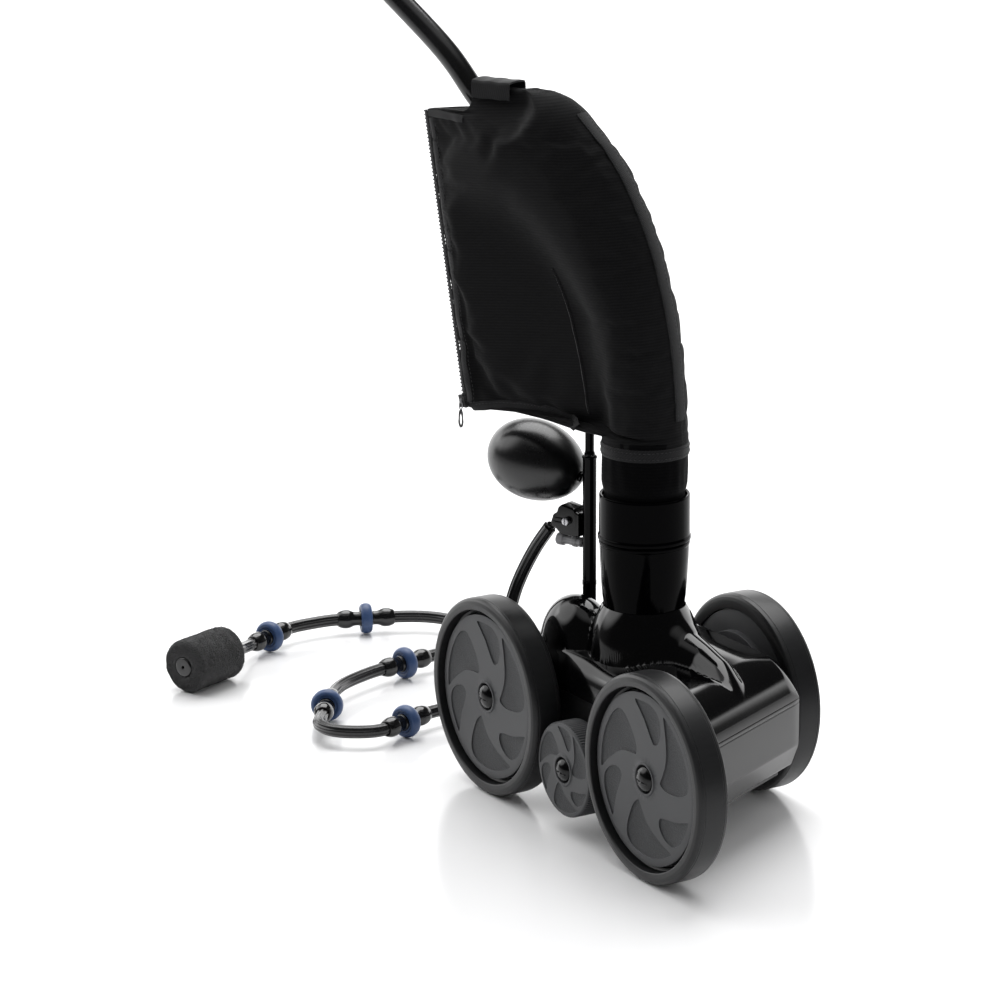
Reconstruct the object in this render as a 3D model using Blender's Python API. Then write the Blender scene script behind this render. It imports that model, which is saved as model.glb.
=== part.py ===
# Pool cleaner: three big wheels on a glossy shell, a vacuum tube with a filter bag,
# a feed pipe with float and jets, a feed hose and a floor hose with a foam tail.
# Metres, +Z up, front towards -Y.  The side with two wheels is at -X.
import bpy
import bmesh
import math
import numpy as np
from mathutils import Vector, Matrix

# ---- driving dimensions ----
mid_y = 0.1454           # distance from the front axle to the middle of the machine
gap = 0.0003             # play left between pieces that touch

wheel_sides = 36         # flats on the tread
wheel_r = 0.0950 / math.cos(math.pi / wheel_sides)
wheel_out = 0.122        # outer face of a tyre from the centre plane
tyre_width = 0.0313
rim_r = 0.0800
axle_z = 0.095
front_y = 0.0
rear_y = 0.2733
far_y = 0.1578
axle_r = 0.0075
drum_r = 0.0600          # friction drum behind each driven disc

idler_r = 0.0447
idler_y = 0.13665
idler_z = 0.0625
idler_out = 0.118
idler_width = 0.0245

shaft_r = 0.0045
shaft_y = 0.0789
roller_r = 0.0186
rotor_r = 0.0205
rotor_len = 0.034

body_half = 0.086        # half width of the shell
frame_half = 0.078       # half width of the lower frame
frame_z0 = 0.047
frame_z1 = 0.1185
skirt_z = 0.1215
shell_wall = 0.003
mound_foot = 0.150
# spine of the mound: x, y, reach, height
spine = [(-0.015, 0.158, 0.0530, 0.2240), (-0.010, 0.138, 0.0420, 0.2030), (-0.003, 0.113, 0.0270, 0.1860),
         (0.002, 0.086, 0.0200, 0.1765), (0.003, 0.062, 0.0165, 0.1690), (0.002, 0.042, 0.0130, 0.1610),
         (0.000, 0.024, 0.0060, 0.1530)]
hump = (-0.0465, 0.222, 0.032, 0.045, 0.197)
front_edge = (-0.034, 0.494)      # y at the near side, slope across the body
rear_edge = (0.296, -0.19)

tube_x = -0.015
tube_y = 0.158
tube_bore = 0.0330
tube_neck_r = 0.0374
tube_knee_z = 0.2380
tube_knee_r = 0.0400
tube_top_r = 0.0409
sleeve_z = 0.2640
collar_top = 0.3070
tube_top = 0.330
cuff_r = 0.0374
cuff_top = 0.362

bag_dir = (-0.3998, 0.9166)       # direction the bag trails, seen from above
bag_wall = 0.0012
bag_mouth_r = 0.0396
bag_mouth_z = 0.345
bag_hem_z = 0.366
bag_top_z = 0.641
zip_foot = (0.2015, 0.3725)
zip_head = (0.2430, 0.6390)
zip_start_z = 0.3590

pipe_u = 0.0796
pipe_n = -0.0272
pipe_r = 0.0065
pipe_thin_r = 0.0042
pipe_step_z = 0.325
pipe_top_z = 0.452

float_long = 0.0505
float_round = 0.0380
feed_hose_r = 0.0110
floor_hose_r = 0.00625
hose_height = 0.0165
coupling_len = 0.062
ring_outer_r = 0.0165
foam_r = 0.0278
foam_len = 0.068

for old in list(bpy.data.objects):
    bpy.data.objects.remove(old, do_unlink=True)

skins = {}


def skin(name, colour, rough, metal=0.0):
    mat = bpy.data.materials.new(name)
    mat.use_nodes = True
    node = mat.node_tree.nodes["Principled BSDF"]
    node.inputs["Base Color"].default_value = (*colour, 1.0)
    node.inputs["Roughness"].default_value = rough
    node.inputs["Metallic"].default_value = metal
    mat.diffuse_color = (*colour, 1.0)
    skins[name] = mat


skin("gloss_black", (0.010, 0.010, 0.011), 0.10)
skin("frame_black", (0.020, 0.020, 0.021), 0.42)
skin("tyre_rubber", (0.045, 0.046, 0.048), 0.62)
skin("disc_grey", (0.075, 0.077, 0.080), 0.50)
skin("bag_cloth", (0.016, 0.016, 0.018), 0.80)
skin("binding", (0.030, 0.030, 0.033), 0.70)
skin("hose_black", (0.014, 0.014, 0.015), 0.25)
skin("ring_blue", (0.020, 0.055, 0.190), 0.45)
skin("foam_black", (0.035, 0.035, 0.036), 0.95)
skin("steel", (0.55, 0.55, 0.57), 0.30, 1.0)
skin("jet_grey", (0.28, 0.29, 0.30), 0.45)


def build(name, mat, verts, faces, origin=(0, 0, 0), crease=38):
    """One closed mesh object, its own origin at the given point."""
    org = Vector(origin)
    mesh = bpy.data.meshes.new(name)
    mesh.from_pydata([tuple(Vector(v) - org) for v in verts], [], faces)
    bm = bmesh.new()
    bm.from_mesh(mesh)
    bmesh.ops.recalc_face_normals(bm, faces=bm.faces)
    bm.to_mesh(mesh)
    bm.free()
    mesh.polygons.foreach_set("use_smooth", [True] * len(mesh.polygons))
    mesh.set_sharp_from_angle(angle=math.radians(crease))
    ob = bpy.data.objects.new(name, mesh)
    bpy.context.scene.collection.objects.link(ob)
    ob.location = org
    mat_here = skins[mat].copy()
    mat_here.name = name + "_" + mat
    mesh.materials.append(mat_here)
    return ob


def rings_solid(name, mat, rings, loop=False, origin=(0, 0, 0), crease=38):
    """Skin over equal rings of points: closed on itself, or capped at both ends."""
    n = len(rings[0])
    verts = [p for ring in rings for p in ring]
    faces = []
    last = len(rings) if loop else len(rings) - 1
    for i in range(last):
        a = i * n
        b = ((i + 1) % len(rings)) * n
        for j in range(n):
            k = (j + 1) % n
            faces.append((a + j, a + k, b + k, b + j))
    if not loop:
        faces.append(tuple(range(n)))
        faces.append(tuple(range(len(verts) - n, len(verts))))
    return build(name, mat, verts, faces, origin, crease)


def basis(axis, start=None):
    """Two directions square to the axis; the first points down where it can."""
    z = Vector(axis).normalized()
    s = Vector(start) if start else Vector((0, 0, -1))
    if abs(s.dot(z)) > 0.95:
        s = Vector((1, 0, 0))
    x = (s - z * s.dot(z)).normalized()
    return x, z.cross(x), z


def turned(name, mat, profile, at, axis, n=32, crease=38):
    """Solid of revolution.  Profile is (radius, distance along the axis) pairs.
    A profile that keeps off the axis closes on itself and leaves a bore."""
    x, y, z = basis(axis)
    at = Vector(at)
    open_ends = profile[0][0] < 1e-9
    body = [p for p in profile if p[0] > 1e-9]
    rings = []
    for r, a in body:
        ring = []
        for j in range(n):
            t = 2 * math.pi * (j + 0.5) / n
            ring.append(at + z * a + x * (r * math.cos(t)) + y * (r * math.sin(t)))
        rings.append(ring)
    return rings_solid(name, mat, rings, loop=not open_ends, origin=at, crease=crease)


def prism(name, mat, outline, at, du, dv, dw, depth, crease=38):
    """Flat outline in the du, dv directions, pushed along dw by the depth."""
    at = Vector(at)
    du = Vector(du).normalized()
    dv = Vector(dv).normalized()
    dw = Vector(dw).normalized()
    low = [at + du * a + dv * b for a, b in outline]
    high = [p + dw * depth for p in low]
    return rings_solid(name, mat, [low, high], origin=at, crease=crease)


def cut(ob, cutters):
    """Take the cutters out of a piece, then bake the result into its mesh."""
    for tool in cutters:
        tool.hide_render = True
        tool.display_type = "WIRE"
        mod = ob.modifiers.new("cut_" + tool.name, "BOOLEAN")
        mod.operation = "DIFFERENCE"
        mod.solver = "EXACT"
        mod.object = tool
    bpy.context.view_layer.update()
    dep = bpy.context.evaluated_depsgraph_get()
    mesh = bpy.data.meshes.new_from_object(ob.evaluated_get(dep))
    ob.modifiers.clear()
    ob.data = mesh
    for tool in cutters:
        bpy.data.objects.remove(tool, do_unlink=True)


def rod(name, start, end, r, n=24):
    """Plain round cutter between two points."""
    a = Vector(start)
    b = Vector(end)
    length = (b - a).length
    return turned(name, "steel", [(0, 0), (r, 0), (r, length), (0, length)], a, b - a, n)


def bag_point(u, n, z):
    """Point at a distance u behind the tube, n towards the near side, at height z."""
    return Vector((tube_x + bag_dir[0] * u - bag_dir[1] * n,
                   tube_y + bag_dir[1] * u + bag_dir[0] * n, z))


bag_u = Vector((bag_dir[0], bag_dir[1], 0))
bag_n = Vector((-bag_dir[1], bag_dir[0], 0))
up = Vector((0, 0, 1))

# ---- wheels ----


def wheel(tag, side, y):
    """Tyre, disc with friction drum, stub axle block and domed screw of one wheel."""
    at = (side * wheel_out, y, axle_z)
    inward = (-side, 0, 0)
    w = tyre_width
    tyre = [(wheel_r, 0.0035), (wheel_r, w - 0.0035), (wheel_r - 0.003, w), (rim_r + gap, w),
            (rim_r + gap, 0.0115), (rim_r + 0.0038, 0.0105), (rim_r + 0.0038, 0), (wheel_r - 0.003, 0)]
    turned("tyre_" + tag, "tyre_rubber", tyre, at, inward, wheel_sides, 25)
    back = w + 0.0039
    disc = [(axle_r + 0.0005, 0.0082), (0.0130, 0.0082), (0.0130, 0.0036), (0.0156, 0.0050),
            (rim_r - 0.0012, 0.0050), (rim_r, 0.0126), (rim_r, w - 0.002),
            (drum_r, w - 0.002), (drum_r, back), (axle_r + 0.0005, back)]
    turned("disc_" + tag, "disc_grey", disc, at, inward, wheel_sides, 25)
    plate = wheel_out - frame_half - 0.0003
    block = [(0, 0.0086), (axle_r - 0.001, 0.0086), (axle_r, 0.0096), (axle_r, plate - 0.0045),
             (0.0165, plate - 0.0040), (0.0175, plate), (0, plate)]
    turned("axle_block_" + tag, "frame_black", block, at, inward, 16)
    screw = [(0, -0.0006), (0.0045, -0.0004), (0.0090, 0.0014), (0.0122, 0.0055), (0.0122, 0.0078),
             (0, 0.0078)]
    turned("wheel_screw_" + tag, "gloss_black", screw, at, inward, 18)


wheel("front", -1, front_y)
wheel("rear", -1, rear_y)
wheel("far", 1, far_y)

idler_at = (-idler_out, idler_y, idler_z)
idler = [(0.0060, 0.0062), (0.0122, 0.0062), (0.0122, 0.0002), (0.0146, 0.0012),
         (idler_r - 0.0015, 0.0004), (idler_r, 0.0014), (idler_r, idler_width), (0.0060, idler_width)]
turned("idler_wheel", "disc_grey", idler, idler_at, (1, 0, 0), 32, 25)
idler_back = idler_out - frame_half - 0.0003
turned("idler_axle", "frame_black",
       [(0, 0.0066), (0.0055, 0.0066), (0.0055, idler_width + 0.001), (0.0105, idler_width + 0.001),
        (0.0125, idler_back), (0, idler_back)], idler_at, (1, 0, 0), 14)
turned("idler_screw", "gloss_black",
       [(0, -0.0040), (0.0045, -0.0036), (0.0088, -0.0012), (0.0114, 0.0028),
        (0.0114, 0.0058), (0, 0.0058)], idler_at, (1, 0, 0), 16)

# ---- lower frame, nose and tail plates ----


def edge_y(edge, x):
    return edge[0] + edge[1] * (x + body_half)


def frame_plan(half, inset):
    """Corner-cut outline of the body seen from above."""
    f0 = edge_y(front_edge, -half) + inset
    f1 = edge_y(front_edge, half) + inset
    r0 = edge_y(rear_edge, -half) - inset
    r1 = edge_y(rear_edge, half) - inset
    return [(-half, f0 + 0.012), (-half + 0.010, f0 + 0.006), (half - 0.010, f1 - 0.005),
            (half, f1 + 0.008), (half, r1 - 0.010), (half - 0.010, r1), (-half + 0.010, r0 - 0.0024),
            (-half, r0 - 0.010)]


frame = prism("base_frame", "frame_black", frame_plan(frame_half, 0.0160), (0, 0, frame_z0),
              (1, 0, 0), (0, 1, 0), up, frame_z1 - frame_z0)
pocket_x, pocket_y = rotor_len / 2 + 0.003, rotor_r + 0.003
pocket = prism("pocket", "steel", [(-pocket_x, -pocket_y), (pocket_x, -pocket_y), (pocket_x, pocket_y), (-pocket_x, pocket_y)],
               (0, shaft_y, axle_z - 0.023), (1, 0, 0), (0, 1, 0), up, 0.06)
cut(frame, [
    rod("throat", (tube_x, tube_y, frame_z0 - 0.01), (tube_x, tube_y, frame_z1 + 0.01), tube_bore, 24),
    pocket,
    rod("shaft_way", (-0.1, shaft_y, axle_z), (0.1, shaft_y, axle_z), shaft_r + 0.0007, 20)])


def plate(name, edge, sign):
    """Bent plate along the front or rear edge of the body, chin tucked under."""
    depth = [(0.0, frame_z1 + 0.002), (0.0, 0.0745), (0.012, 0.052), (0.0155, 0.052),
             (0.0035, 0.0755), (0.0035, frame_z1 + 0.002)]
    rings = []
    for x in (-0.084, 0.0868):
        y = edge_y(edge, x)
        rings.append([Vector((x, y + sign * d, z)) for d, z in depth])
    rings_solid(name, "gloss_black", rings)


plate("nose_panel", front_edge, 1)
plate("tail_panel", rear_edge, -1)

# ---- drive: shaft, rollers, water wheel and its cover ----
turned("drive_shaft", "steel", [(0, 0), (shaft_r, 0), (shaft_r, 0.1804), (0, 0.1804)],
       (-0.0902, shaft_y, axle_z), (1, 0, 0), 16)
for tag, x in (("near", -0.0902), ("far", 0.0870)):
    turned("drive_roller_" + tag, "steel",
           [(shaft_r + gap, 0), (roller_r, 0), (roller_r, 0.0032), (shaft_r + gap, 0.0032)],
           (x, shaft_y, axle_z), (1, 0, 0), 28)
blades = 8
rotor_rings = []
for r_in, x in ((0, -rotor_len / 2), (0, rotor_len / 2), (1, rotor_len / 2), (1, -rotor_len / 2)):
    ring = []
    for j in range(blades * 4):
        t = 2 * math.pi * j / (blades * 4)
        r = shaft_r + gap if r_in else (rotor_r if j % 4 < 2 else 0.0095)
        ring.append((x, shaft_y + r * math.cos(t), axle_z + r * math.sin(t)))
    rotor_rings.append(ring)
rings_solid("turbine_rotor", "jet_grey", rotor_rings, loop=True, origin=(0, shaft_y, axle_z))
cover_x, cover_y = rotor_len / 2 + 0.009, rotor_r + 0.0075
prism("turbine_cover", "frame_black", [(-cover_x, -cover_y), (cover_x, -cover_y), (cover_x, cover_y), (-cover_x, cover_y)],
      (0, shaft_y, frame_z1 + gap), (1, 0, 0), (0, 1, 0), up, 0.004)

# ---- top shell ----


def roll(s, r):
    t = min(max(s / r, 0.0), 1.0)
    return math.sqrt(1.0 - (1.0 - t) ** 2)


def dome(x, y, cx, cy, wx, wy, top):
    """Height of an egg-shaped dome, or well below the shell outside it."""
    d = ((x - cx) / wx) ** 2 + ((y - cy) / wy) ** 2
    return mound_foot + (top - mound_foot) * math.sqrt(1.0 - d) if d < 1.0 else 0.0


def shell_z(x, y):
    """Height of the shell: a crowned deck with a mound round the tube that runs forward
    into a narrowing ridge, a hump beside it, and a roll to the front and rear edges."""
    s1 = y - edge_y(front_edge, x)
    s2 = edge_y(rear_edge, x) - y
    t = min(max((y - 0.040) / 0.090, 0.0), 1.0)
    z = skirt_z + 0.0335 + 0.0090 * (1.0 - min((x / 0.070) ** 2, 1.0)) * t * t * (3 - 2 * t)
    z -= 0.016 * math.exp(-((x + 0.090) / 0.030) ** 2 - ((y - 0.118) / 0.034) ** 2)
    z = max(z, dome(x, y, *hump))
    for (x0, y0, r0, h0), (x1, y1, r1, h1) in zip(spine, spine[1:]):
        for k in range(8):
            f = k / 8
            r = r0 + (r1 - r0) * f
            z = max(z, dome(x, y, x0 + (x1 - x0) * f, y0 + (y1 - y0) * f, r, r, h0 + (h1 - h0) * f))
    return skirt_z + (z - skirt_z) * roll(s1, 0.050) * roll(s2, 0.045)


def grid_rings(inset, lower):
    """Rows of points over the shell plan, front to rear at each step across."""
    rows = []
    steps_x = 18
    steps_y = 20
    for i in range(steps_x + 1):
        x = (body_half - inset) * (2 * i / steps_x - 1)
        y0 = edge_y(front_edge, x) + inset * 1.15
        y1 = edge_y(rear_edge, x) - inset * 1.05
        row = []
        for j in range(steps_y + 1):
            t = j / steps_y
            t = 0.5 - 0.5 * math.cos(math.pi * t) if 0 < j < steps_y else t
            y = y0 + (y1 - y0) * t
            row.append(Vector((x, y, shell_z(x, y) - lower)))
        rows.append(row)
    return rows


def shell_solid():
    outer = grid_rings(0.0, 0.0)
    inner = grid_rings(shell_wall, shell_wall)
    verts = []
    faces = []
    nx = len(outer)
    ny = len(outer[0])
    for rows in (outer, inner):
        start = len(verts)
        for row in rows:
            verts.extend(row)
        for i in range(nx - 1):
            for j in range(ny - 1):
                a = start + i * ny + j
                faces.append((a, a + 1, a + ny + 1, a + ny))
    edge = [(i, 0) for i in range(nx)] + [(nx - 1, j) for j in range(1, ny)]
    edge += [(i, ny - 1) for i in range(nx - 2, -1, -1)] + [(0, j) for j in range(ny - 2, 0, -1)]
    loops = []
    for k, rows in enumerate((outer, inner)):
        top = [k * nx * ny + i * ny + j for i, j in edge]
        foot = []
        for i, j in edge:
            p = rows[i][j]
            foot.append(len(verts))
            verts.append(Vector((p.x, p.y, skirt_z - 0.0006)))
        loops.append((top, foot))
    n = len(edge)
    for top, foot in loops:
        for a in range(n):
            b = (a + 1) % n
            faces.append((top[a], top[b], foot[b], foot[a]))
    for a in range(n):
        b = (a + 1) % n
        faces.append((loops[0][1][a], loops[0][1][b], loops[1][1][b], loops[1][1][a]))
    return build("top_shell", "gloss_black", verts, faces, crease=40)


shell = shell_solid()
pipe_at = bag_point(pipe_u, pipe_n, 0)
oval = turned("oval", "steel", [(0, 0), (0.0045, 0), (0.0045, 0.06), (0, 0.06)],
              (0.033, 0.161, 0.140), up, 16)
cut(shell, [
    rod("neck", (tube_x, tube_y, 0.1), (tube_x, tube_y, 0.25), tube_neck_r + 0.0010, 28),
    rod("mast", (pipe_at.x, pipe_at.y, 0.1), (pipe_at.x, pipe_at.y, 0.25), pipe_r + 0.0008, 14),
    oval])

# ---- vacuum tube, collar, cuff ----
turned("vacuum_tube", "gloss_black",
       [(tube_bore, frame_z1 + gap), (0.0358, frame_z1 + gap), (0.0358, 0.186),
        (tube_neck_r, 0.190), (tube_neck_r, 0.2036), (tube_knee_r, tube_knee_z),
        (tube_top_r, sleeve_z - 0.002), (tube_top_r - 0.001, sleeve_z), (0.0352, sleeve_z),
        (0.0352, tube_top), (tube_bore, tube_top)],
       (tube_x, tube_y, 0), up, 28, 25)
turned("tube_collar", "gloss_black",
       [(0.0355, sleeve_z + gap), (0.0419, sleeve_z + gap), (0.0419, sleeve_z + 0.0045),
        (0.0404, sleeve_z + 0.0055), (0.0404, collar_top - 0.001), (0.0398, collar_top),
        (cuff_r + 0.0007, collar_top), (cuff_r + 0.0007, 0.2775), (0.0355, 0.2775)],
       (tube_x, tube_y, 0), up, 28, 25)
turned("bag_cuff", "binding",
       [(0.0356, 0.2790), (cuff_r, 0.2790), (cuff_r, cuff_top), (0.0356, cuff_top)],
       (tube_x, tube_y, 0), up, 28)
for tag, turn in (("left", 2.5), ("right", 5.7)):
    lean = Vector((math.cos(turn), math.sin(turn), 0))
    foot = Vector((tube_x, tube_y, 0.066)) + lean * 0.0290
    turned("vacuum_jet_" + tag, "jet_grey",
           [(0.0011, 0), (0.0045, 0), (0.0045, 0.002), (0.0027, 0.003), (0.0020, 0.014), (0.0011, 0.014)],
           foot, -lean * 0.5 + up * 0.85, 10)

# ---- filter bag ----
front_line = [(-0.0396, 0.362), (-0.0380, 0.380), (-0.0360, 0.407), (-0.0320, 0.442),
              (-0.0240, 0.481), (-0.0100, 0.528), (0.0040, 0.562), (0.0240, 0.599),
              (0.0405, 0.621), (0.0625, 0.642), (0.0740, 0.655), (0.0900, 0.665), (0.1240, 0.674)]


def front_u(z):
    """Front edge of the bag at a height."""
    us = [p[0] for p in front_line]
    zs = [p[1] for p in front_line]
    return float(np.interp(z, zs, us))


def rear_u(z):
    """Straight zip edge of the bag at a height."""
    t = (z - zip_foot[1]) / (zip_head[1] - zip_foot[1])
    return zip_foot[0] + (zip_head[0] - zip_foot[0]) * t


def puff(u, z):
    """Half thickness: a round sleeve that follows the front edge, thin towards the zip."""
    best = 1.0
    for k in range(len(front_line) - 1):
        a = Vector(front_line[k])
        b = Vector(front_line[k + 1])
        d = b - a
        t = min(max((Vector((u, z)) - a).dot(d) / d.dot(d), 0.0), 1.0)
        best = min(best, (Vector((u, z)) - a - d * t).length)
    sleeve = 0.0385
    rise = min(best / sleeve, 1.0)
    round_half = sleeve * math.sqrt(max(1.0 - (1.0 - rise) ** 2, 0.0))
    slim = 1.0 / (1.0 + math.exp((best - 0.064 - 0.035 * max(z - 0.50, 0) / 0.14) / 0.0050))
    web = 0.0062
    h = web + (round_half - web) * slim
    h = min(h, 0.0026 + 0.33 * max(rear_u(z) - u, 0.0))
    strap_hold = 0.0085 + 0.9 * max(0.655 - z, 0.0) + 0.9 * max(0.124 - u, 0.0)
    return min(h, strap_hold)


def bag_loop(z, inset):
    """One level of the bag: front point, near side, rear point, far side."""
    half = 12
    mouth = z < bag_hem_z - 0.001
    f = (-bag_mouth_r if mouth else front_u(z)) + inset
    r = bag_mouth_r if mouth else rear_u(z)
    if z > bag_top_z + 0.001:
        r = 0.186
    r -= inset
    near = []
    for k in range(half + 1):
        s = 0.5 - 0.5 * math.cos(math.pi * k / half)
        u = f + (r - f) * s
        if mouth:
            h = math.sqrt(max((bag_mouth_r - inset) ** 2 - u * u, 0.0))
        else:
            edge = math.sin(math.pi * k / half)
            h = max(puff(u, z), 0.0030 * min(edge * 6, 1)) - inset if 0 < k < half else 0.0
            h = max(h, 0.0006) if 0 < k < half else 0.0
        near.append((u, h))
    loop = [bag_point(u, h, z) for u, h in near]
    loop += [bag_point(u, -h, z) for u, h in near[-2:0:-1]]
    return loop


levels = [bag_mouth_z, 0.3640, 0.3670, 0.390, 0.420, 0.455, 0.490, 0.525, 0.560, 0.590,
          0.615, 0.632, 0.6405, 0.6445, 0.657, 0.668]
outer_rows = [bag_loop(z, 0.0) for z in levels]
inner_levels = [z for z in levels if z < 0.66]
inner_rows = [bag_loop(z + (bag_wall if 0.3650 < z < 0.370 else 0) - (bag_wall if 0.640 < z < 0.645 else 0),
                       bag_wall) for z in inner_levels]
rings_solid("filter_bag", "bag_cloth", inner_rows[::-1] + outer_rows, crease=60)

zip_line = Vector((0, 0, 0))
zip_a = bag_point(rear_u(zip_start_z) + 0.0028, 0, zip_start_z)
zip_b = bag_point(zip_head[0] + 0.0028, 0, zip_head[1])
zip_way = (zip_b - zip_a).normalized()
zip_out = (bag_u - zip_way * bag_u.dot(zip_way)).normalized()
prism("zip_chain", "binding", [(-0.0022, -0.0013), (0.0022, -0.0013), (0.0022, 0.0013),
                               (-0.0022, 0.0013)],
      zip_a, zip_out, bag_n, zip_way, (zip_b - zip_a).length)
slider_at = zip_a + zip_way * 0.001
slider = [(-0.0018, 0.0017), (-0.0018, 0.0033), (0.0048, 0.0033), (0.0060, 0.0020), (0.0060, -0.0020),
          (0.0048, -0.0033), (-0.0018, -0.0033), (-0.0018, -0.0017), (0.0028, -0.0017), (0.0028, 0.0017)]
prism("zip_slider", "binding", slider, slider_at, zip_out, bag_n, zip_way, 0.012)
pull_at = slider_at + zip_way * 0.006 + zip_out * 0.0016 + bag_n * 0.0048
pull = [(-0.0016, 0.0008), (-0.0026, -0.004), (-0.0030, -0.022), (-0.0018, -0.0255), (0.0018, -0.0255),
        (0.0030, -0.022), (0.0026, -0.004), (0.0016, 0.0008)]
pull_ob = prism("zip_pull", "binding", pull, pull_at - bag_n * 0.0007, bag_u, up, bag_n, 0.0014)

strap = [(0.128, 0.6688), (0.134, 0.6705), (0.186, 0.6705), (0.1868, 0.6600), (0.1868, 0.6550)]
strap_rings = []
for u, lift in ((0.1300, 0.0), (0.1860, 0.0)):
    ring = []
    for n, z in ((-0.0125, 0.6560), (-0.0140, 0.6560), (-0.0140, 0.6745), (0.0140, 0.6745),
                 (0.0140, 0.6560), (0.0125, 0.6560), (0.0125, 0.6730), (-0.0125, 0.6730)):
        ring.append(bag_point(u, n, z + lift))
    strap_rings.append(ring)
rings_solid("bag_strap", "binding", strap_rings)

# ---- feed pipe, jets, float ----
turned("feed_pipe_lower", "gloss_black",
       [(0.0040, frame_z1 + gap), (pipe_r, frame_z1 + gap), (pipe_r, pipe_step_z - 0.003),
        (0.0054, pipe_step_z), (0.0040, pipe_step_z)], pipe_at, up, 14)
turned("feed_pipe_upper", "gloss_black",
       [(0.0026, pipe_step_z + gap), (0.0050, pipe_step_z + gap), (pipe_thin_r, pipe_step_z + 0.003),
        (pipe_thin_r, pipe_top_z), (0.0026, pipe_top_z)], pipe_at, up, 12)
swivel_at = pipe_at + up * pipe_top_z
turned("swivel_nut", "gloss_black",
       [(0.0050, -0.012), (0.0088, -0.012), (0.0096, -0.009), (0.0096, 0.008), (0.0080, 0.011),
        (0.0050, 0.011)], swivel_at, up, 12, 20)
block_u = pipe_u + pipe_r + gap
block = [(block_u, 0.2450), (block_u + 0.026, 0.2450), (block_u + 0.032, 0.2520), (block_u + 0.032, 0.2680),
         (block_u + 0.024, 0.2750), (block_u + 0.004, 0.2750), (block_u, 0.2720)]
rings_solid("jet_block", "gloss_black",
            [[bag_point(u, pipe_n + n, z) for u, z in block] for n in (-0.0100, 0.0100)])
turned("adjust_screw", "steel",
       [(0, 0), (0.0032, 0), (0.0040, 0.0008), (0.0040, 0.0042), (0.0034, 0.0052), (0.0010, 0.0052),
        (0.0010, 0.0040), (0, 0.0040)],
       bag_point(block_u + 0.012, pipe_n + 0.0100 + gap, 0.2600), bag_n, 12, 20)
nozzle_at = bag_point(block_u + 0.0006, pipe_n, 0.2385)
turned("thrust_nozzle", "gloss_black",
       [(0.0018, 0), (0.0040, 0), (0.0052, 0.0020), (0.0052, 0.0230), (0.0060, 0.0240),
        (0.0060, 0.0280), (0.0022, 0.0280)], nozzle_at, bag_u, 12, 30)
barb_way = (bag_u * 0.60 - up * 0.80).normalized()
barb_at = bag_point(block_u + 0.0326, pipe_n, 0.2560)
turned("sweep_barb", "gloss_black",
       [(0.0012, 0), (0.0042, 0), (0.0042, 0.002), (0.0022, 0.0030), (0.0022, 0.013),
        (0.0012, 0.013)], barb_at + barb_way * 0.0068, barb_way, 10)

float_way = (bag_u * 0.985 + up * 0.17).normalized()
float_mid = bag_point(0.1395, pipe_n, 0.3110)
egg = []
for k in range(11):
    t = math.pi * k / 10
    a = -math.cos(t) * float_long
    fat = 1.0 - 0.07 * math.cos(t)
    egg.append((float_round * math.sin(t) * fat if 0 < k < 10 else 0.0, a))
turned("tail_float", "gloss_black", egg, float_mid, float_way, 20)
arm_root = pipe_r + 0.0015
arm_at = bag_point(pipe_u, pipe_n, 0.3105 - 0.0592 * 0.17)
turned("float_arm", "gloss_black",
       [(0, arm_root), (0.0042, arm_root), (0.0042, 0.0105), (0, 0.0105)], arm_at, float_way, 12)

# ---- hoses ----


def smooth_path(points, step):
    """Even steps along a curve through the points."""
    pts = [Vector(p) for p in points]
    pts = [pts[0] * 2 - pts[1]] + pts + [pts[-1] * 2 - pts[-2]]
    dense = []
    for k in range(1, len(pts) - 2):
        p0, p1, p2, p3 = pts[k - 1:k + 3]
        t1 = (p1 - p0).length ** 0.5
        t2 = t1 + (p2 - p1).length ** 0.5
        t3 = t2 + (p3 - p2).length ** 0.5
        for i in range(16):
            t = t1 + (t2 - t1) * i / 16
            a1 = p0 * ((t1 - t) / t1) + p1 * (t / t1)
            a2 = p1 * ((t2 - t) / (t2 - t1)) + p2 * ((t - t1) / (t2 - t1))
            a3 = p2 * ((t3 - t) / (t3 - t2)) + p3 * ((t - t2) / (t3 - t2))
            b1 = a1 * ((t2 - t) / t2) + a2 * (t / t2)
            b2 = a2 * ((t3 - t) / (t3 - t1)) + a3 * ((t - t1) / (t3 - t1))
            dense.append(b1 * ((t2 - t) / (t2 - t1)) + b2 * ((t - t1) / (t2 - t1)))
    dense.append(pts[-2])
    run = [0.0]
    for a, b in zip(dense, dense[1:]):
        run.append(run[-1] + (b - a).length)
    count = max(int(round(run[-1] / step)), 2)
    xyz = np.array([tuple(p) for p in dense])
    out = []
    for i in range(count + 1):
        s = run[-1] * i / count
        out.append(Vector([float(np.interp(s, run, xyz[:, c])) for c in range(3)]))
    return out


def tube_along(name, mat, path, r_out, r_in, n):
    """Hollow hose along a path."""
    ways = []
    for k in range(len(path)):
        a = path[max(k - 1, 0)]
        b = path[min(k + 1, len(path) - 1)]
        ways.append((b - a).normalized())
    side = basis(ways[0])[0]
    outer = []
    inner = []
    for p, w in zip(path, ways):
        side = (side - w * side.dot(w)).normalized()
        other = w.cross(side)
        spokes = [side * math.cos(2 * math.pi * j / n) + other * math.sin(2 * math.pi * j / n)
                  for j in range(n)]
        outer.append([p + s * r_out for s in spokes])
        inner.append([p + s * r_in for s in spokes])
    return rings_solid(name, mat, outer + inner[::-1], loop=True, crease=60)


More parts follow.
